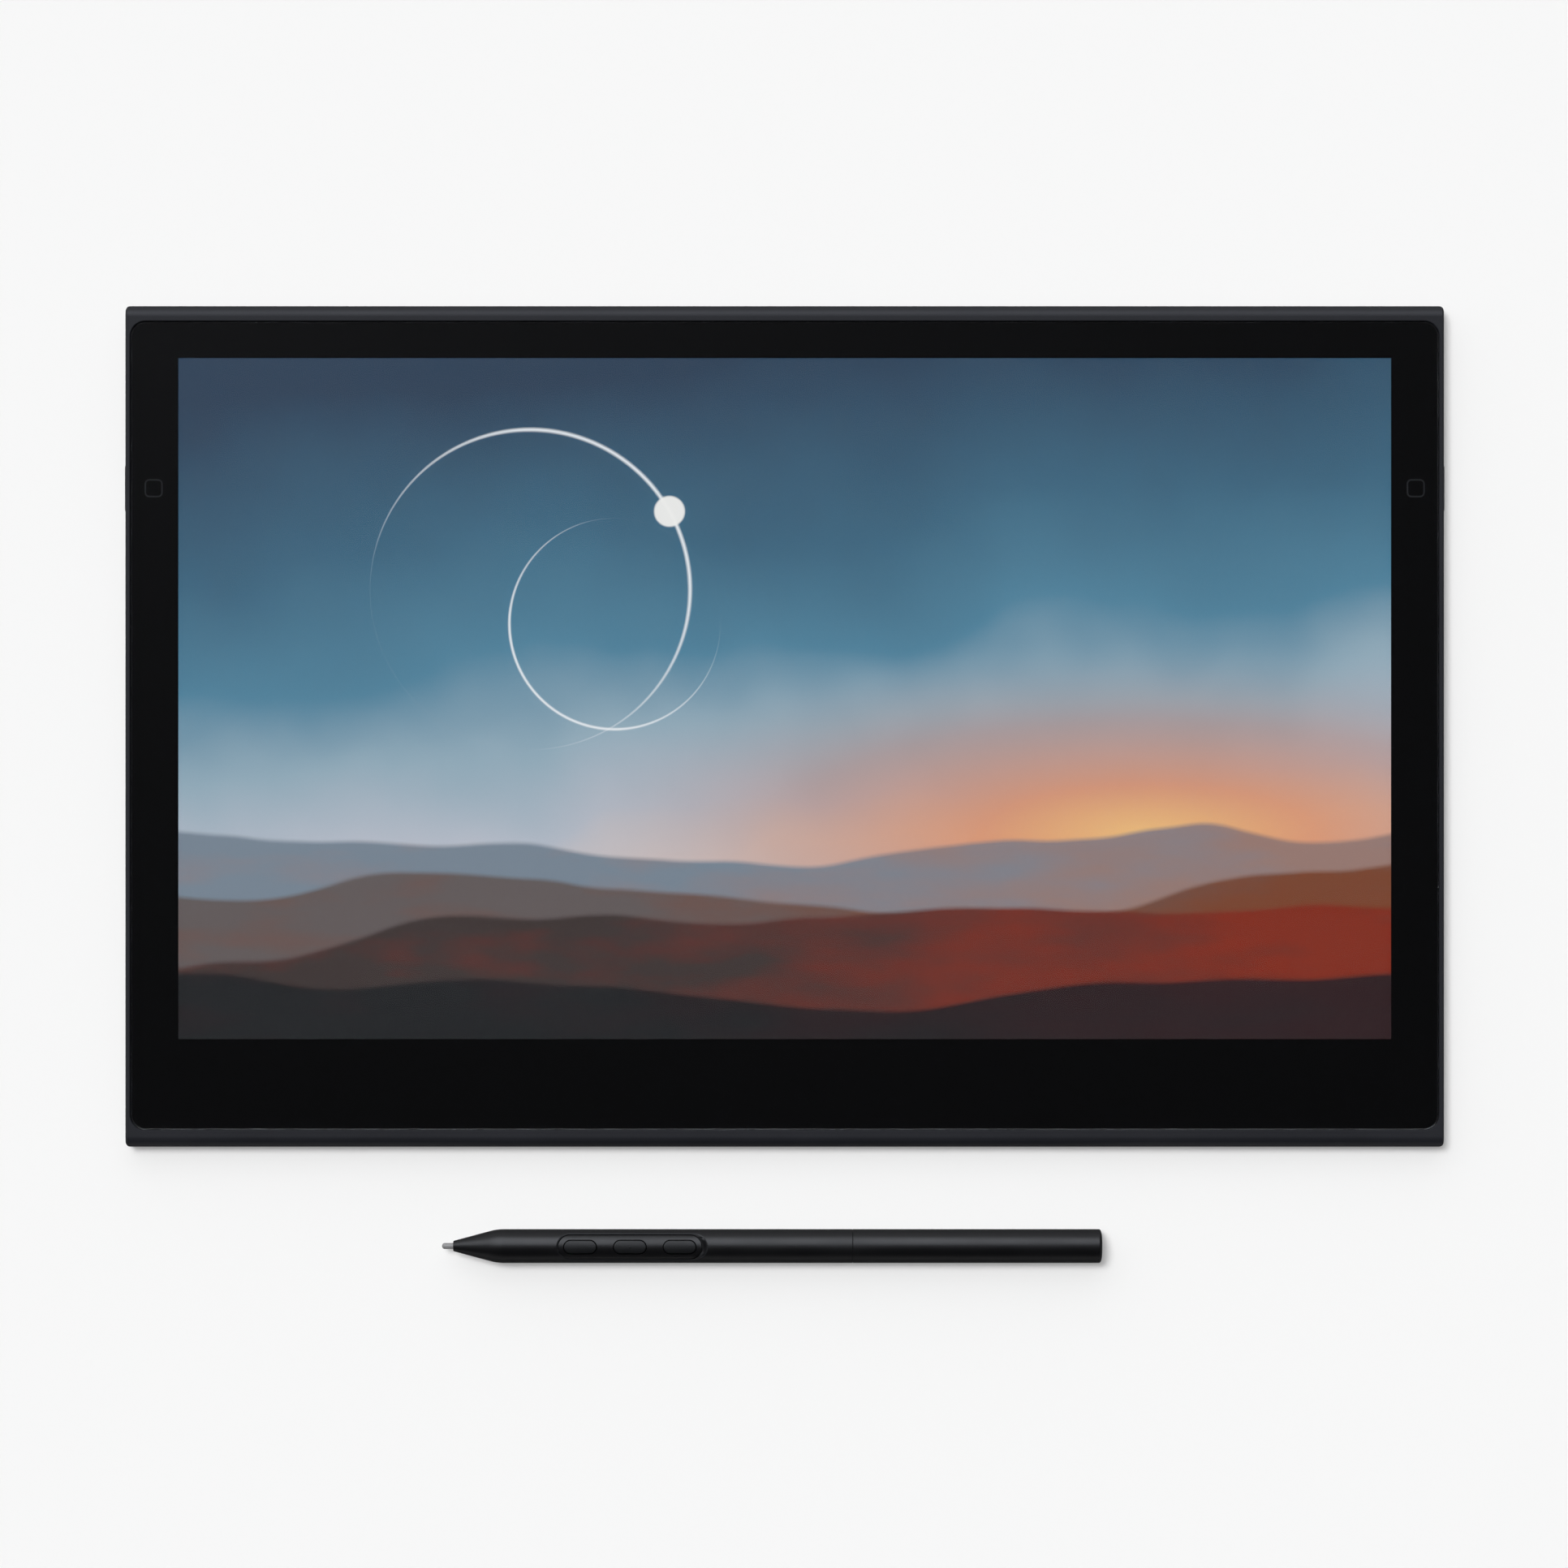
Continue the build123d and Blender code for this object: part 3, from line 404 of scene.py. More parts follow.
def screen_picture():
    """Generic dusk over layered hills, worked out across the lit area of the panel."""
    look = Look("screen_picture", srgb(4, 4, 5), 0.5, Specular_IOR_Level=0.1)
    x, y, z = look.axes()
    across = look.fit(x, lit_low.x, lit_high.x, 0.0, 1.0)
    up = look.fit(y, lit_low.y, lit_high.y, 0.0, 1.0)
    aspect = (lit_high.x - lit_low.x) / (lit_high.y - lit_low.y)

    # Sky: deep blue at the upper left, paler towards the haze over the hills
    spread = look.vector(look.math("MULTIPLY", across, aspect), up)
    drift = look.noise(2.2, detail=3.0, place=spread)
    lean = look.math("MULTIPLY", look.math("SUBTRACT", across, 0.5), SKY_LEAN)
    height = look.math("ADD", up, lean)
    height = look.math("ADD", height, look.fit(drift, 0.3, 0.7, -SKY_DRIFT, SKY_DRIFT))
    sky = look.ramp(height, SKY_STOPS)

    # Warm light low at the right
    glow_x = look.math(
        "MULTIPLY", look.math("SUBTRACT", across, GLOW_MIDDLE[0]), GLOW_STRETCH[0] * aspect
    )
    glow_y = look.math("MULTIPLY", look.math("SUBTRACT", up, GLOW_MIDDLE[1]), GLOW_STRETCH[1])
    glow_far = look.far(glow_x, glow_y)
    warm = look.ramp(glow_far, GLOW_STOPS)
    sky = look.mix(look.fit(glow_far, 0.0, GLOW_REACH, 0.95, 0.0), sky, warm)

    # Two thin pale rings that fade round their turn, and a small disc
    for centre_x, centre_y, radius, width, side in RINGS:
        ring_x = look.math("MULTIPLY", look.math("SUBTRACT", across, centre_x), aspect)
        ring_y = look.math("SUBTRACT", up, centre_y)
        off = look.math("ABSOLUTE", look.math("SUBTRACT", look.far(ring_x, ring_y), radius))
        lean = look.math("MULTIPLY", look.math("ADD", ring_x, ring_y), side)
        taper = look.fit(lean, -radius, radius, 0.12, 1.0)
        line = look.fit(off, 0.0, look.math("MULTIPLY", taper, width), 1.0, 0.0)
        sky = look.mix(look.math("MULTIPLY", line, taper), sky, RING_COLOUR)
    disc_x = look.math("MULTIPLY", look.math("SUBTRACT", across, DISC_MIDDLE[0]), aspect)
    disc_y = look.math("SUBTRACT", up, DISC_MIDDLE[1])
    sky = look.mix(look.fit(look.far(disc_x, disc_y), *DISC_RIM, 0.95, 0.0), sky, DISC_COLOUR)

    # Hills, from the far pale line to the near dark ground
    picture = sky
    for foot, swell, scale, seed, low, high in HILLS:
        line = look.noise(scale, detail=2.5, roughness=0.42, place=look.vector(across, seed))
        wave = look.math("MULTIPLY", look.fit(line, 0.25, 0.75, -1.0, 1.0), swell)
        above = look.math("SUBTRACT", look.math("ADD", foot, wave), up)
        under = look.fit(above, -CREST_SOFTNESS, CREST_SOFTNESS, 0.0, 1.0)
        ground = look.vector(across, look.math("MULTIPLY", up, 2.0), seed)
        slope = look.noise(9.0, detail=4.0, place=ground)
        shade = look.math(
            "ADD", look.fit(across, 0.3, 0.95, 1.0, 0.0), look.fit(slope, 0.3, 0.7, -0.3, 0.3)
        )
        hill = look.mix(look.fit(shade, 0.0, 1.0, 0.0, 1.0), low, high)
        picture = look.mix(under, picture, hill)

    # The picture stays inside the lit area, on the panel's face
    inside = look.math(
        "MULTIPLY", look.between(x, lit_low.x, lit_high.x), look.between(y, lit_low.y, lit_high.y)
    )
    face = look.math("GREATER_THAN", z, panel_high.z - PANEL_FACE_DEPTH)
    shown = look.math("MULTIPLY", inside, face)
    look.set("Emission Color", look.mix(shown, srgb(0, 0, 0), picture))
    look.set("Emission Strength", 1.0)
    return look


def circuit_board(name, mask_dark, mask_light, top):
    """Solder mask with fine tracks; what stands above the board is black moulding."""
    look = Look(name, mask_light, 0.4)
    z = look.axes()[2]
    tracks = look.add("ShaderNodeTexBrick")
    look.plug(tracks.inputs["Vector"], look.place)
    for socket, value in (
        ("Scale", 420.0), ("Mortar Size", 0.06), ("Brick Width", 2.6), ("Row Height", 0.32),
        ("Color1", mask_dark), ("Color2", mask_dark), ("Mortar", mask_light),
    ):
        look.plug(tracks.inputs[socket], value)
    speck = look.noise(900.0, detail=3.0)
    mask = look.mix(look.fit(speck, 0.35, 0.75, 0.0, 0.5), tracks.outputs["Color"], mask_light)
    moulded = look.mix(speck, srgb(20, 20, 21), srgb(34, 34, 35))
    above = look.math("GREATER_THAN", z, top)
    look.set("Base Color", look.mix(above, mask, moulded))
    look.set("Roughness", look.fit(above, 0.0, 1.0, 0.32, 0.6))
    look.bump(tracks.outputs["Fac"], 0.02 * MM, 0.5)
    return look


def sheet_metal(name, dark, light, rough, along):
    """Rolled or drawn sheet with fine lines along one axis."""
    look = Look(name, light, rough, Metallic=1.0)
    spread = [
        look.math("MULTIPLY", value, 40.0 if axis == along else 2600.0)
        for axis, value in enumerate(look.axes())
    ]
    lines = look.noise(1.0, detail=3.0, place=look.vector(*spread))
    cloud = look.noise(120.0, detail=3.0)
    look.set("Base Color", look.mix(look.fit(lines, 0.3, 0.7, 0.0, 1.0), dark, light))
    look.set("Roughness", look.fit(cloud, 0.3, 0.7, rough - 0.06, rough + 0.08))
    look.bump(lines, 0.002 * MM)
    return look


def usb_metal():
    """Nickel shell, with the black moulded tongue inside it."""
    look = sheet_metal("usb_metal", srgb(120, 120, 122), srgb(168, 169, 172), 0.3, 0)
    x, y, z = look.axes()
    centre = (socket_low + socket_high) / 2
    off_y = look.math("ABSOLUTE", look.math("SUBTRACT", y, centre.y))
    off_z = look.math("ABSOLUTE", look.math("SUBTRACT", z, centre.z))
    tongue = look.math(
        "MULTIPLY",
        look.math("LESS_THAN", off_y, TONGUE_HALF_WIDTH),
        look.math("LESS_THAN", off_z, TONGUE_HALF_HEIGHT),
    )
    contact = look.math("MULTIPLY", tongue, look.math("GREATER_THAN", off_z, CONTACT_FROM))
    wave = look.math("SINE", look.math("MULTIPLY", off_y, 2 * pi / CONTACT_PITCH))
    gold = look.math("MULTIPLY", contact, look.math("GREATER_THAN", wave, 0.1))
    nickel = look.noise(700.0, detail=3.0)
    shell = look.mix(nickel, srgb(124, 124, 126), srgb(170, 171, 174))
    inner = look.mix(gold, srgb(20, 20, 21), srgb(176, 136, 66))
    look.set("Base Color", look.mix(tongue, shell, inner))
    look.set("Metallic", look.math("SUBTRACT", 1.0, look.math("SUBTRACT", tongue, gold)))
    return look


def film_ribbon():
    """Amber film with fine copper tracks along it."""
    look = Look("film_ribbon", srgb(150, 92, 34), 0.35)
    x = look.axes()[0]
    tracks = look.math("SINE", look.math("MULTIPLY", x, 2 * pi / TRACK_PITCH))
    cloud = look.noise(400.0, detail=2.0)
    film = look.mix(cloud, srgb(126, 74, 26), srgb(160, 100, 40))
    look.set(
        "Base Color", look.mix(look.fit(tracks, 0.0, 0.4, 0.0, 0.6), film, srgb(96, 54, 22))
    )
    look.set("Roughness", look.fit(cloud, 0.3, 0.7, 0.3, 0.42))
    look.bump(tracks, 0.01 * MM, 0.5)
    return look


def black_tape():
    """Black foam tape, its cells just to be seen at the edge."""
    look = Look("black_tape", srgb(18, 18, 19), 0.85)
    foam = look.cells(3200.0)
    cell = look.fit(foam, 0.0, 0.6, 0.0, 1.0)
    look.set("Base Color", look.mix(cell, srgb(10, 10, 11), srgb(26, 26, 27)))
    look.set("Roughness", look.fit(foam, 0.0, 0.6, 0.8, 0.92))
    look.bump(foam, 0.03 * MM)
    return look


def coil_wire():
    """Dark ferrite, with copper wire wound round its middle."""
    look = Look("coil_wire", srgb(60, 58, 57), 0.5)
    x, y, z = look.axes()
    centre = (coil_low + coil_high) / 2
    off_y = look.math("SUBTRACT", y, centre.y)
    off_z = look.math("SUBTRACT", z, centre.z)
    wound = look.math("GREATER_THAN", look.far(off_y, off_z), WIRE_FROM)
    turns = look.math("SINE", look.math("MULTIPLY", x, 2 * pi / WIRE_PITCH))
    copper = look.mix(look.fit(turns, -1.0, 1.0, 0.0, 1.0), srgb(110, 52, 24), srgb(190, 104, 54))
    grit = look.noise(2400.0, detail=3.0)
    ferrite = look.mix(grit, srgb(44, 43, 43), srgb(70, 68, 66))
    look.set("Base Color", look.mix(wound, ferrite, copper))
    look.set("Metallic", wound)
    look.set("Roughness", look.fit(wound, 0.0, 1.0, 0.7, 0.35))
    look.bump(turns, 0.03 * MM, 0.6)
    return look


def barrel_skin():
    """Soft coat of the pen, with the rim of the insert's opening softened by bump and made paler
    as a painted highlight of its edge.
    """
    look = grained("pen_barrel_coat", *PEN_COAT, Specular_IOR_Level=0.265)
    x, y, z = look.axes()
    axis = (barrel_low + barrel_high) / 2
    middle = insert_low.x - OPENING_GAP + OPENING_LENGTH / 2
    straight = (OPENING_LENGTH - OPENING_WIDTH) / 2
    along = look.math("ABSOLUTE", look.math("SUBTRACT", x, middle))
    beyond = look.math("MAXIMUM", look.math("SUBTRACT", along, straight), 0.0)
    off = look.math("SUBTRACT", y, axis.y)
    outside = look.math("SUBTRACT", look.far(beyond, off), OPENING_WIDTH / 2)
    upper = look.math("GREATER_THAN", z, axis.z)
    skin = look.math("MULTIPLY", upper, look.math("GREATER_THAN", outside, -RIM_OVERLAP))
    rim = look.math("MULTIPLY", skin, look.fit(outside, 0.0, RIM_WIDTH, 1.0, 0.0))
    coat = look.shader.inputs["Base Color"].links[0].from_socket
    # Painted highlight: the rim is made paler where light would catch the edge of the opening.
    painted_rim_highlight = look.math("MULTIPLY", rim, RIM_PAINTED_HIGHLIGHT)
    look.set("Base Color", look.mix(painted_rim_highlight, coat, srgb(44, 46, 50)))
    look.bump(look.math("SUBTRACT", 1.0, rim), RIM_DEPTH)
    return look.matt_aslant(0.15, 0.5)


def linked(tree, kind, *sources, **settings):
    """Node with its first inputs linked or set; a socket links, a number or colour is set."""
    node = tree.nodes.new(kind)
    for name, value in settings.items():
        setattr(node, name, value)
    for socket, source in zip(node.inputs, sources):
        if isinstance(source, bpy.types.NodeSocket):
            tree.links.new(source, socket)
        elif source is not None:
            socket.default_value = source
    return node


def dress(look, *names):
    """Give CAD nodes a finish."""
    for name in names:
        data = nodes[name].data
        data.materials.clear()
        data.materials.append(look.material)


def even_top_line(name):
    """Modifier that evens the shading along a round node's top line, where its CAD faces meet."""
    tree = bpy.data.node_groups.new("even_top_line", "GeometryNodeTree")
    for side in ("INPUT", "OUTPUT"):
        tree.interface.new_socket("Geometry", in_out=side, socket_type="NodeSocketGeometry")
    low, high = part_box(name)
    middle = (low[1] + high[1]) / 2
    start, place, normal = (
        tree.nodes.new(kind).outputs[0]
        for kind in ("NodeGroupInput", "GeometryNodeInputPosition", "GeometryNodeInputNormal")
    )
    y = linked(tree, "ShaderNodeSeparateXYZ", place).outputs[1]
    on_line = linked(tree, "ShaderNodeMath", y, middle, TOP_LINE_REACH, operation="COMPARE")
    off_line = linked(tree, "ShaderNodeMath", 1.0, on_line.outputs[0], operation="SUBTRACT")
    along, across, up = linked(tree, "ShaderNodeSeparateXYZ", normal).outputs
    kept = linked(tree, "ShaderNodeMath", across, off_line.outputs[0], operation="MULTIPLY")
    turned = linked(tree, "ShaderNodeCombineXYZ", along, kept.outputs[0], up)
    unit = linked(tree, "ShaderNodeVectorMath", turned.outputs[0], operation="NORMALIZE")
    shaded = linked(tree, "GeometryNodeSetMeshNormal", start, mode="FREE", domain="CORNER")
    tree.links.new(unit.outputs[0], shaded.inputs["Custom Normal"])
    linked(tree, "NodeGroupOutput", shaded.outputs[0])
    nodes[name].modifiers.new("even_top_line", "NODES").node_group = tree


def made(name, build, look, body, stands_for=None):
    """New piece from a mesh that build() fills, smooth but for its sharp edges."""
    mesh = bmesh.new()
    build(mesh)
    bmesh.ops.recalc_face_normals(mesh, faces=mesh.faces)
    data = bpy.data.meshes.new(name)
    mesh.to_mesh(data)
    mesh.free()
    data.materials.append(look.material)
    data.shade_smooth()
    data.set_sharp_from_angle(angle=radians(SHARP_FROM))
    piece = bpy.data.objects.new(name, data)
    bpy.context.scene.collection.objects.link(piece)
    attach(piece, body)
    if stands_for:
        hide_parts(stands_for)
    return piece


def rounded_loop(low, high, corner, steps=8):
    """Points round a rectangle with round corners, anticlockwise."""
    points = []
    for x, y, start in (
        (high.x - corner, high.y - corner, 0),
        (low.x + corner, high.y - corner, 90),
        (low.x + corner, low.y + corner, 180),
        (high.x - corner, low.y + corner, 270),
    ):
        turns = [radians(start + 90 * step / steps) for step in range(steps + 1)]
        points += [(x + corner * cos(turn), y + corner * sin(turn)) for turn in turns]
    return points


def ring_between(mesh, outer, inner, bottom, top):
    """Closed flat ring between two loops of equally many points."""
    loops = [
        [mesh.verts.new((x, y, z)) for x, y in loop]
        for loop, z in ((outer, bottom), (outer, top), (inner, top), (inner, bottom))
    ]
    count = len(outer)
    for first, second in zip(loops, loops[1:] + loops[:1]):
        for index in range(count):
            following = (index + 1) % count
            mesh.faces.new((first[index], first[following], second[following], second[index]))


def border_print(mesh):
    """Black border behind the glass, open over the lit area."""
    inset = Vector((PRINT_INSET, PRINT_INSET))
    bottom = glass_low.z + PRINT_LIFT
    ring_between(
        mesh,
        rounded_loop(glass_low.xy + inset, glass_high.xy - inset, PRINT_CORNER),
        rounded_loop(lit_low, lit_high, PRINT_INNER_CORNER),
        bottom,
        bottom + PRINT_THICKNESS,
    )


def touch_mark(side):
    """Outline of a touch key beside the lit area."""
    centre = Vector((
        glass_high.x - MARK_SETBACK if side > 0 else glass_low.x + MARK_SETBACK,
        (key_low.y + key_high.y) / 2,
    ))
    half = Vector((MARK_SIZE / 2, MARK_SIZE / 2))
    line = Vector((MARK_LINE, MARK_LINE))
    bottom = glass_low.z + PRINT_LIFT + 2 * PRINT_THICKNESS

    def build(mesh):
        ring_between(
            mesh,
            rounded_loop(centre - half, centre + half, MARK_CORNER),
            rounded_loop(centre - half + line, centre + half - line, MARK_CORNER - MARK_LINE),
            bottom,
            bottom + PRINT_THICKNESS,
        )
    return build


def lathe(mesh, profile, centre):
    """Turned shell: profile is a closed loop of places along X and their radii."""
    rings = []
    for x, radius in profile:
        if radius == 0:
            rings.append([mesh.verts.new((x, centre.y, centre.z))])
            continue
        rings.append([
            mesh.verts.new((
                x,
                centre.y + radius * cos(2 * pi * step / LATHE_STEPS),
                centre.z + radius * sin(2 * pi * step / LATHE_STEPS),
            ))
            for step in range(LATHE_STEPS)
        ])
    for first, second in zip(rings, rings[1:] + rings[:1]):
        for step in range(LATHE_STEPS):
            following = (step + 1) % LATHE_STEPS
            if len(first) == 1 and len(second) == 1:
                break
            if len(first) == 1:
                mesh.faces.new((first[0], second[step], second[following]))
            elif len(second) == 1:
                mesh.faces.new((first[step], first[following], second[0]))
            else:
                mesh.faces.new((first[step], first[following], second[following], second[step]))


def rear_barrel(mesh):
    """Blind tube of the pen's rear half, its end a low full dome."""
    start = barrel_high.x + SEAM_GAP
    radius = (rear_high.z - rear_low.z) / 2
    centre = (rear_low + rear_high) / 2
    bore = radius - BARREL_WALL
    turns = [pi / 2 * step / CAP_STEPS for step in range(CAP_STEPS)]
    cap = [
        (
            rear_high.x - CAP_DEPTH + CAP_DEPTH * sin(turn),
            radius * cos(turn) ** (2 / CAP_FULLNESS),
        )
        for turn in turns
    ]
    lathe(
        mesh,
        [
            (start, bore),
            (start, radius - SEAM_CHAMFER),
            (start + SEAM_CHAMFER, radius),
            *cap,
            (rear_high.x, 0),
            (rear_high.x - BARREL_END, 0),
            (rear_high.x - BARREL_END, bore),
        ],
        centre,
    )


def nib(mesh):
    """Nib with its round drawing end, as far back as the sensor's grip."""
    radius = (nib_high.z - nib_low.z) / 2
    centre = (nib_low + nib_high) / 2
    turns = [pi / 2 * step / NIB_STEPS for step in range(NIB_STEPS + 1)]
    tip = [
        (
            nib_low.x + NIB_ROUND * (1 - cos(turn)),
            (radius - NIB_ROUND) + NIB_ROUND * sin(turn),
        )
        for turn in turns
    ]
    lathe(mesh, [(nib_low.x, 0), *tip, (nib_high.x, radius), (nib_high.x, 0)], centre)


def slab(mesh, top, bottom):
    """Closed solid between two grids of equally many places."""
    upper, lower = (
        [[mesh.verts.new(place) for place in row] for row in grid] for grid in (top, bottom)
    )
    rows, columns = range(len(top) - 1), range(len(top[0]) - 1)
    for grid in (upper, lower):
        for i in rows:
            for j in columns:
                mesh.faces.new((grid[i][j], grid[i][j + 1], grid[i + 1][j + 1], grid[i + 1][j]))
    for j in (0, -1):
        for i in rows:
            mesh.faces.new((upper[i][j], upper[i + 1][j], lower[i + 1][j], lower[i][j]))
    for i in (0, -1):
        for j in columns:
            mesh.faces.new((upper[i][j], upper[i][j + 1], lower[i][j + 1], lower[i][j]))
    bmesh.ops.remove_doubles(mesh, verts=mesh.verts, dist=WELD)


def flat_box(mesh, low, high):
    """Plain closed plate, for a flange out of sight."""
    slab(mesh, *(
        [[(x, y, z) for y in (low.y, high.y)] for x in (low.x, high.x)] for z in (high.z, low.z)
    ))


def thumb_notch(mesh):
    """Scooped floor of the thumbnail notch, from the insert's end up to the barrel's skin."""
    radius = (barrel_high.z - barrel_low.z) / 2
    axis = (barrel_low + barrel_high) / 2
    half = OPENING_WIDTH / 2
    start = insert_high.x + OPENING_GAP - half
    reach = OPENING_LENGTH - (insert_high.x - insert_low.x) - 2 * OPENING_GAP
    shares = [step / NOTCH_ALONG for step in range(NOTCH_ALONG + 1)]
    top, bottom = [], []
    for station in range(NOTCH_ACROSS + 1):
        y = NOTCH_HALF * (2 * station / NOTCH_ACROSS - 1)
        near = start + (half ** 2 - y ** 2) ** 0.5
        rise = max((radius ** 2 - y ** 2) ** 0.5 - NOTCH_LIP - NOTCH_FLOOR, NOTCH_SUNK)
        places = [(near + reach * share, rise * share ** NOTCH_SCOOP) for share in shares]
        top.append([(x, axis.y + y, axis.z + NOTCH_FLOOR + lift) for x, lift in places])
        bottom.append([(x, axis.y + y, axis.z + NOTCH_FLOOR - NOTCH_SUNK) for x, lift in places])
    slab(mesh, top, bottom)


def dot(mesh, foot, height):
    """Small round dome to find a key by feel."""
    rings = []
    for level in range(DOT_UP):
        rise = pi / 2 * level / DOT_UP
        turns = [2 * pi * step / DOT_AROUND for step in range(DOT_AROUND)]
        rings.append([
            mesh.verts.new((
                foot.x + DOT_RADIUS * cos(rise) * cos(turn),
                foot.y + DOT_RADIUS * cos(rise) * sin(turn),
                foot.z + height * sin(rise),
            ))
            for turn in turns
        ])
    for first, second in zip(rings, rings[1:]):
        for step in range(DOT_AROUND):
            following = (step + 1) % DOT_AROUND
            mesh.faces.new((first[step], first[following], second[following], second[step]))
    mesh.faces.new(rings[0])
    mesh.faces.new(rings[-1])


def crowned_key(node):
    """Oval cap with a rounded edge and a crown across the pen, on the flange that keeps it in."""
    low, high = (Vector(corner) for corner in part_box(node))
    middle = (low + high) / 2
    radius = BUTTON_WIDTH / 2
    straight = BUTTON_LENGTH / 2 - radius
    flange_top = low.z + FLANGE_HEIGHT
    crown_top = front_high.z

    def height(x, y):
        """Top of the cap: the crown, less the round of the edge."""
        beyond = max(abs(x) - straight, 0.0)
        inset = max(radius - (beyond ** 2 + y ** 2) ** 0.5, 0.0)
        short = max(BUTTON_EDGE - inset, 0.0)
        drop = BUTTON_EDGE - (BUTTON_EDGE ** 2 - short ** 2) ** 0.5
        return crown_top - BUTTON_CROWN + (BUTTON_CROWN ** 2 - y ** 2) ** 0.5 - drop

    def build(mesh):
        turns = [pi / 2 * step / BUTTON_END_STEPS for step in range(BUTTON_END_STEPS, 0, -1)]
        sides = [2 * step / BUTTON_SIDE_STEPS - 1 for step in range(BUTTON_SIDE_STEPS + 1)]
        stations = [(-straight - radius * sin(turn), radius * cos(turn)) for turn in turns]
        stations += [(straight * side, radius) for side in sides]
        stations += [
            (straight + radius * sin(turn), radius * cos(turn)) for turn in reversed(turns)
        ]
        rows = [
            [(x, -half * cos(pi * step / BUTTON_ACROSS)) for step in range(BUTTON_ACROSS + 1)]
            for x, half in stations
        ]
        slab(
            mesh,
            [[(middle.x + x, middle.y + y, height(x, y)) for x, y in row] for row in rows],
            [[(middle.x + x, middle.y + y, flange_top) for x, y in row] for row in rows],
        )
        flat_box(mesh, low, Vector((high.x, high.y, flange_top)))
        if high.z > crown_top + DOT_SUNK / 2:
            foot = Vector((middle.x, middle.y, crown_top - DOT_SUNK))
            dot(mesh, foot, high.z - foot.z)
    return build


# Finishes of the CAD nodes
PEN_COAT = (srgb(7, 7, 9), srgb(11, 11, 13), 4200.0, 0.004 * MM, 0.4)
pen_soft = grained("pen_soft_touch", *PEN_COAT, Specular_IOR_Level=0.265).matt_aslant(0.15, 0.5)
pen_satin = grained(
    "pen_satin_insert", srgb(7, 7, 9), srgb(12, 12, 14), 5200.0, 0.003 * MM, 0.38,
    Specular_IOR_Level=0.24,
)
pen_keys = grained(
    "pen_button_plastic", srgb(9, 10, 12), srgb(15, 16, 18), 5200.0, 0.003 * MM, 0.5,
    Specular_IOR_Level=0.25,
)
nib_plastic = grained(
    "nib_plastic", srgb(112, 112, 113), srgb(132, 132, 133), 3600.0, 0.003 * MM, 0.5
)
carrier = grained(
    "pen_carrier", srgb(30, 31, 33), srgb(44, 45, 47), 2600.0, 0.01 * MM, 0.55
)
rubber = grained(
    "foot_rubber", srgb(16, 16, 17), srgb(26, 26, 27), 1800.0, 0.02 * MM, 0.8,
    Specular_IOR_Level=0.3,
)
key_metal = grained(
    "side_button_metal", srgb(36, 37, 40), srgb(46, 47, 51), 4600.0, 0.003 * MM, 0.36
)
switch_body = circuit_board("switch_board", srgb(20, 70, 46), srgb(30, 92, 60), NO_PARTS_ABOVE)
green_board = circuit_board(
    "green_board", srgb(16, 62, 42), srgb(28, 92, 62), board_low.z + BOARD_TOP
)
sensor_board = circuit_board("sensor_board", srgb(22, 26, 30), srgb(34, 40, 46), NO_PARTS_ABOVE)
steel = sheet_metal("screw_steel", srgb(90, 90, 92), srgb(130, 130, 133), 0.35, 2)
shield = sheet_metal("shield_foil", srgb(140, 141, 144), srgb(172, 173, 176), 0.34, 0)

dress(housing_paint(), "frame", "back_cover")
dress(etched_glass(), "cover_glass")
dress(screen_picture(), "display_panel")
dress(black_tape(), "glass_adhesive")
dress(sensor_board, "pen_sensor_board")
dress(shield, "sensor_shield")
dress(green_board, "main_board", "usb_board_left", "usb_board_right")
dress(switch_body, "switch_board_left", "switch_board_right", "pen_board")
dress(film_ribbon(), "display_ribbon", "sensor_ribbon", "usb_ribbon_left", "usb_ribbon_right")
dress(usb_metal(), "usb_socket_left", "usb_socket_right")
dress(steel, "cover_screws", "board_screws")
dress(rubber, "foot_lower", "foot_upper")
dress(key_metal, "left_button", "right_button")
dress(barrel_skin(), "pen_barrel")
even_top_line("pen_barrel")
dress(pen_soft, "pen_rear_barrel")
dress(pen_satin, "pen_switch_insert")
dress(pen_keys, "pen_button_front", "pen_button_middle", "pen_button_rear")
dress(nib_plastic, "pen_nib", "spare_nibs")
dress(carrier, "pen_core", "nib_holder", "pressure_sensor")
dress(coil_wire(), "pen_coil")

# Print behind the glass
border_ink = ink("border_ink", srgb(5, 5, 7))
mark_ink = ink("mark_ink", srgb(54, 55, 57))
made("border_print", border_print, border_ink, "tablet")
made("touch_mark_left", touch_mark(-1), mark_ink, "tablet")
made("touch_mark_right", touch_mark(1), mark_ink, "tablet")

# Turned pieces of the pen with their fine round ends
made(
    "rear_barrel_shell", rear_barrel, pen_soft, "pen_rear_barrel",
    stands_for="pen_rear_barrel",
)
made("nib_rod", nib, nib_plastic, "pen_nib", stands_for="pen_nib")
made("thumb_notch", thumb_notch, pen_soft, "pen")
for key in ("pen_button_front", "pen_button_middle", "pen_button_rear"):
    made(f"{key}_cap", crowned_key(key), pen_keys, key, stands_for=key)


def seen_by(tree):
    """Light Path's outputs, and a number that is 1 for glossy and transmission rays."""
    path = tree.nodes.new("ShaderNodeLightPath").outputs
    rays = path["Is Glossy Ray"], path["Is Transmission Ray"]
    return path, linked(tree, "ShaderNodeMath", *rays, operation="MAXIMUM").outputs[0]


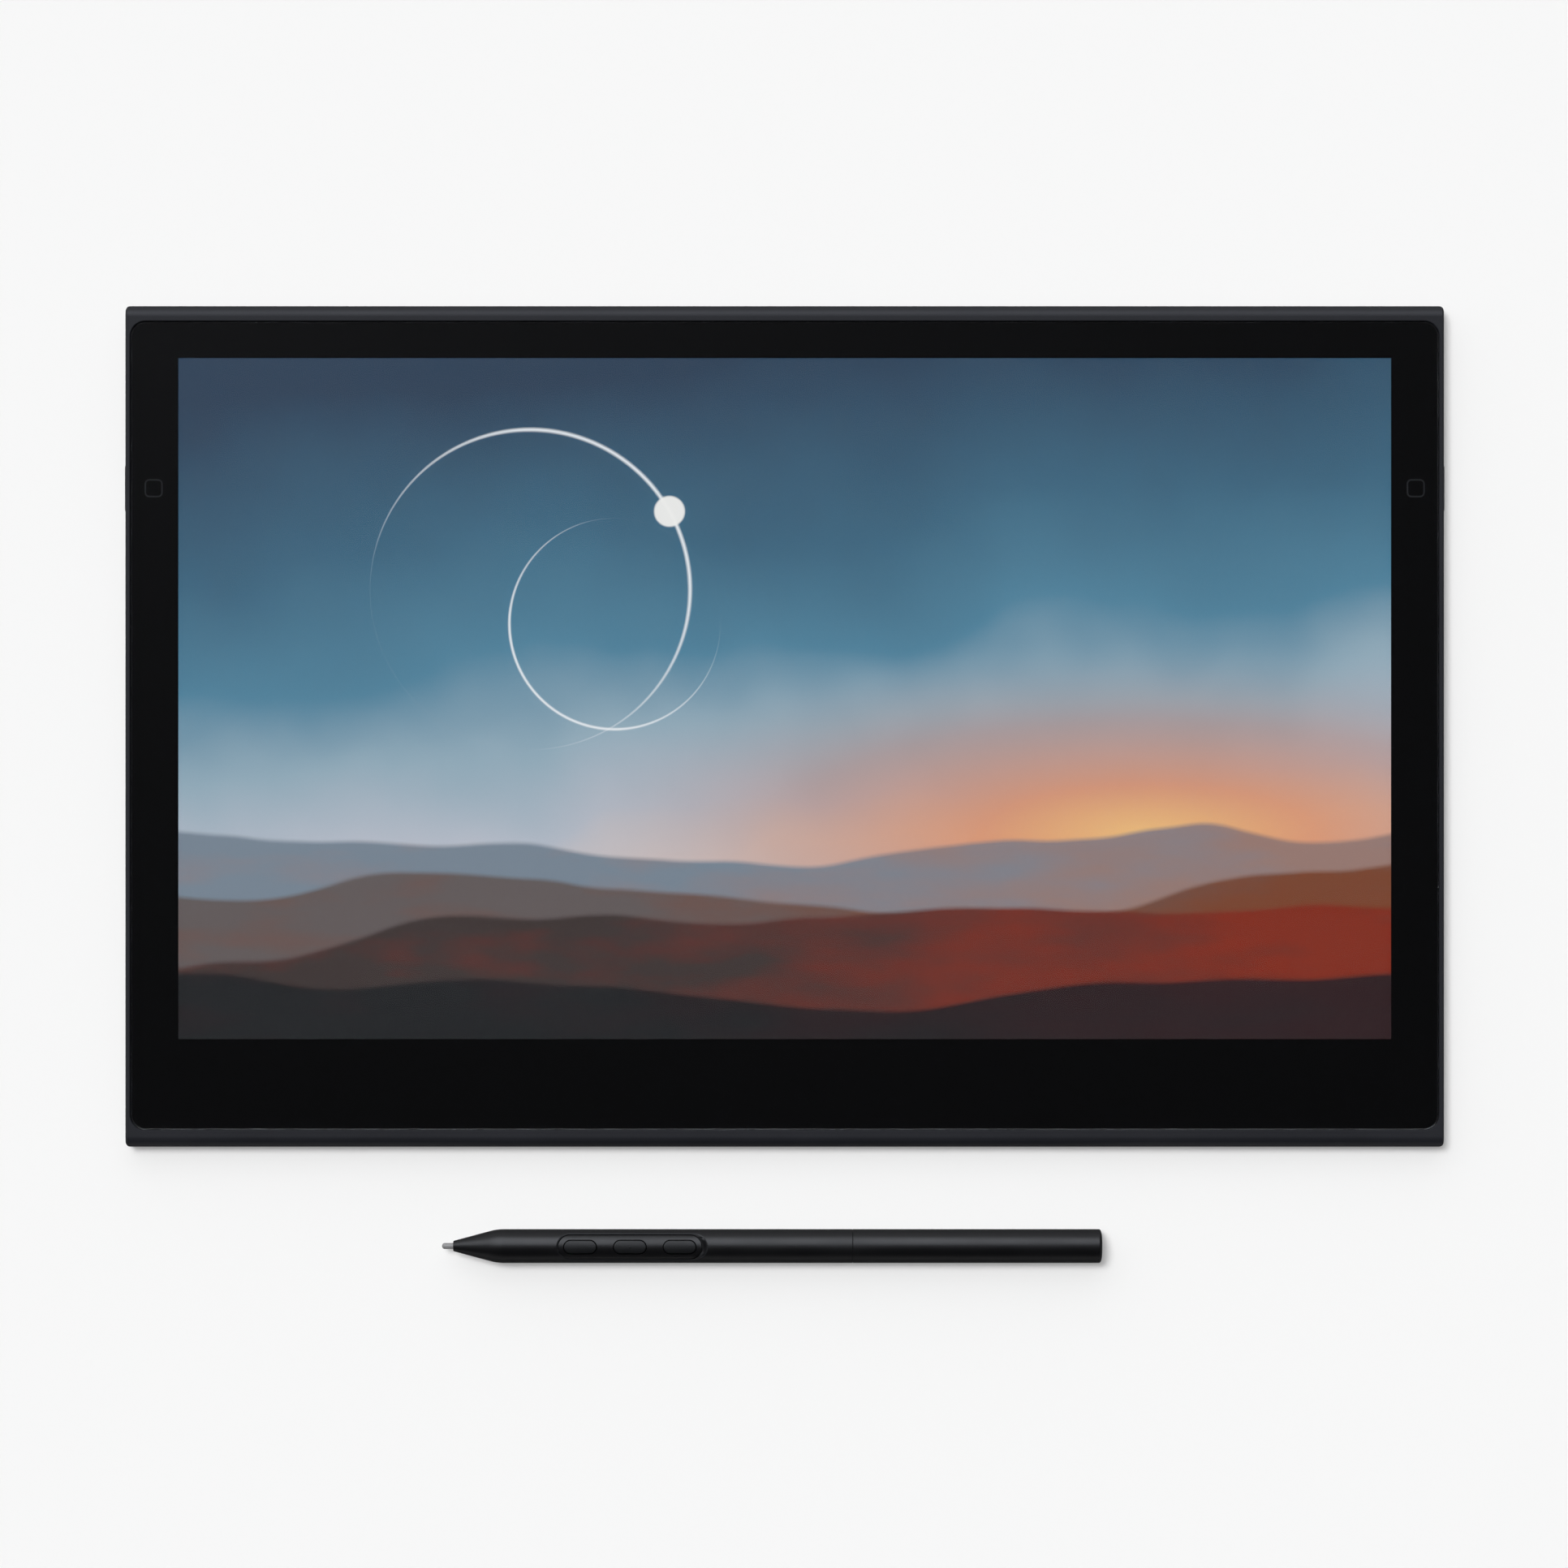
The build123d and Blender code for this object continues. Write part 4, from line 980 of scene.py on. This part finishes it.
def floor_finish():
    """Pale floor that keeps shadows, and is not seen from below."""
    material = bpy.data.materials.new("floor_paper")
    material.use_nodes = True
    tree = material.node_tree
    tree.nodes.clear()
    path, mirrored = seen_by(tree)
    seen = linked(tree, "ShaderNodeMath", path["Is Camera Ray"], mirrored, operation="MAXIMUM")
    share = linked(tree, "ShaderNodeMath", seen.outputs[0], FLOOR_GLOW, operation="MULTIPLY")
    pale = (FLOOR_SHADE, FLOOR_SHADE, FLOOR_SHADE, 1.0)
    paper = linked(tree, "ShaderNodeBsdfDiffuse", pale).outputs[0]
    glow = linked(tree, "ShaderNodeEmission", pale, 1.0).outputs[0]
    lit = linked(tree, "ShaderNodeMixShader", share.outputs[0], paper, glow).outputs[0]
    behind = tree.nodes.new("ShaderNodeNewGeometry").outputs["Backfacing"]
    either = linked(tree, "ShaderNodeMath", behind, path["Is Shadow Ray"], operation="MAXIMUM")
    clear = tree.nodes.new("ShaderNodeBsdfTransparent").outputs[0]
    shown = linked(tree, "ShaderNodeMixShader", either.outputs[0], lit, clear)
    linked(tree, "ShaderNodeOutputMaterial", shown.outputs[0])
    return material


def studio_sky(world):
    """Room light: pale from the upper left, dim from the front and dark straight above."""
    world.use_nodes = True
    tree = world.node_tree
    tree.nodes.clear()
    way = tree.nodes.new("ShaderNodeTexCoord").outputs["Generated"]
    dot_product = linked(tree, "ShaderNodeVectorMath", way, SKY_FROM, operation="DOT_PRODUCT")
    towards = dot_product.outputs["Value"]
    span = SKY_START, SKY_END, SKY_DARK, SKY_BRIGHT
    room = linked(tree, "ShaderNodeMapRange", towards, *span).outputs[0]
    up = linked(tree, "ShaderNodeSeparateXYZ", way).outputs["Z"]
    level = linked(tree, "ShaderNodeMath", up, operation="ABSOLUTE").outputs[0]
    band = linked(tree, "ShaderNodeMapRange", level, BAND_FROM, BAND_TO, 1.0, 0.0).outputs[0]
    path, mirrored = seen_by(tree)
    near_level = linked(tree, "ShaderNodeMath", mirrored, band, operation="MULTIPLY").outputs[0]
    share = linked(tree, "ShaderNodeMath", path["Is Camera Ray"], near_level, operation="MAXIMUM")
    strength = linked(tree, "ShaderNodeMix", share.outputs[0], None, room, BACKDROP).outputs[0]
    background = linked(tree, "ShaderNodeBackground", (1.0, 1.0, 1.0, 1.0), strength)
    linked(tree, "ShaderNodeOutputWorld", background.outputs[0])


def sun(name, strength, spread, tilt, turn, diffuse=True, glossy=True):
    """Even soft light from a direction: tilt from straight above, turned from +Y towards -X."""
    data = bpy.data.lights.new(name, "SUN")
    data.energy = strength
    data.angle = radians(spread)
    lamp = bpy.data.objects.new(name, data)
    bpy.context.scene.collection.objects.link(lamp)
    source = Vector((
        -sin(radians(tilt)) * sin(radians(turn)),
        sin(radians(tilt)) * cos(radians(turn)),
        cos(radians(tilt)),
    ))
    lamp.rotation_euler = source.to_track_quat("Z", "Y").to_euler()
    lamp.visible_diffuse = diffuse
    lamp.visible_glossy = glossy
    lamp.visible_transmission = glossy
    return lamp


floor_data = bpy.data.meshes.new("floor")
reach = FLOOR_SIZE / 2
floor_data.from_pydata(
    [(-reach, -reach, 0), (reach, -reach, 0), (reach, reach, 0), (-reach, reach, 0)],
    [],
    [(0, 1, 2, 3)],
)
floor_data.materials.append(floor_finish())
floor = bpy.data.objects.new("floor", floor_data)
bpy.context.scene.collection.objects.link(floor)

sun("key_gloss", BOX_GLOSS, BOX_SPREAD, BOX_TILT, BOX_TURN, diffuse=False).data.color = BOX_TINT
sun("key_soft", BOX_SOFT, BOX_SPREAD, BOX_TILT, BOX_TURN, glossy=False)
sun("top_light", TOP_STRENGTH, TOP_SPREAD, TOP_TILT, TOP_TURN, glossy=False)
sun("under_light", UNDER_STRENGTH, UNDER_SPREAD, UNDER_TILT, 0.0)

world = bpy.data.worlds.new("studio")
bpy.context.scene.world = world
studio_sky(world)

camera_data = bpy.data.cameras.new("camera")
camera_data.lens = CAMERA_LENS
camera_data.clip_start = CAMERA_NEAR
camera = bpy.data.objects.new("camera", camera_data)
camera.location = (CAMERA_X, CAMERA_Y, tablet_high.z + CAMERA_DISTANCE)
bpy.context.scene.collection.objects.link(camera)
bpy.context.scene.camera = camera
bpy.context.scene.view_settings.view_transform = "Standard"
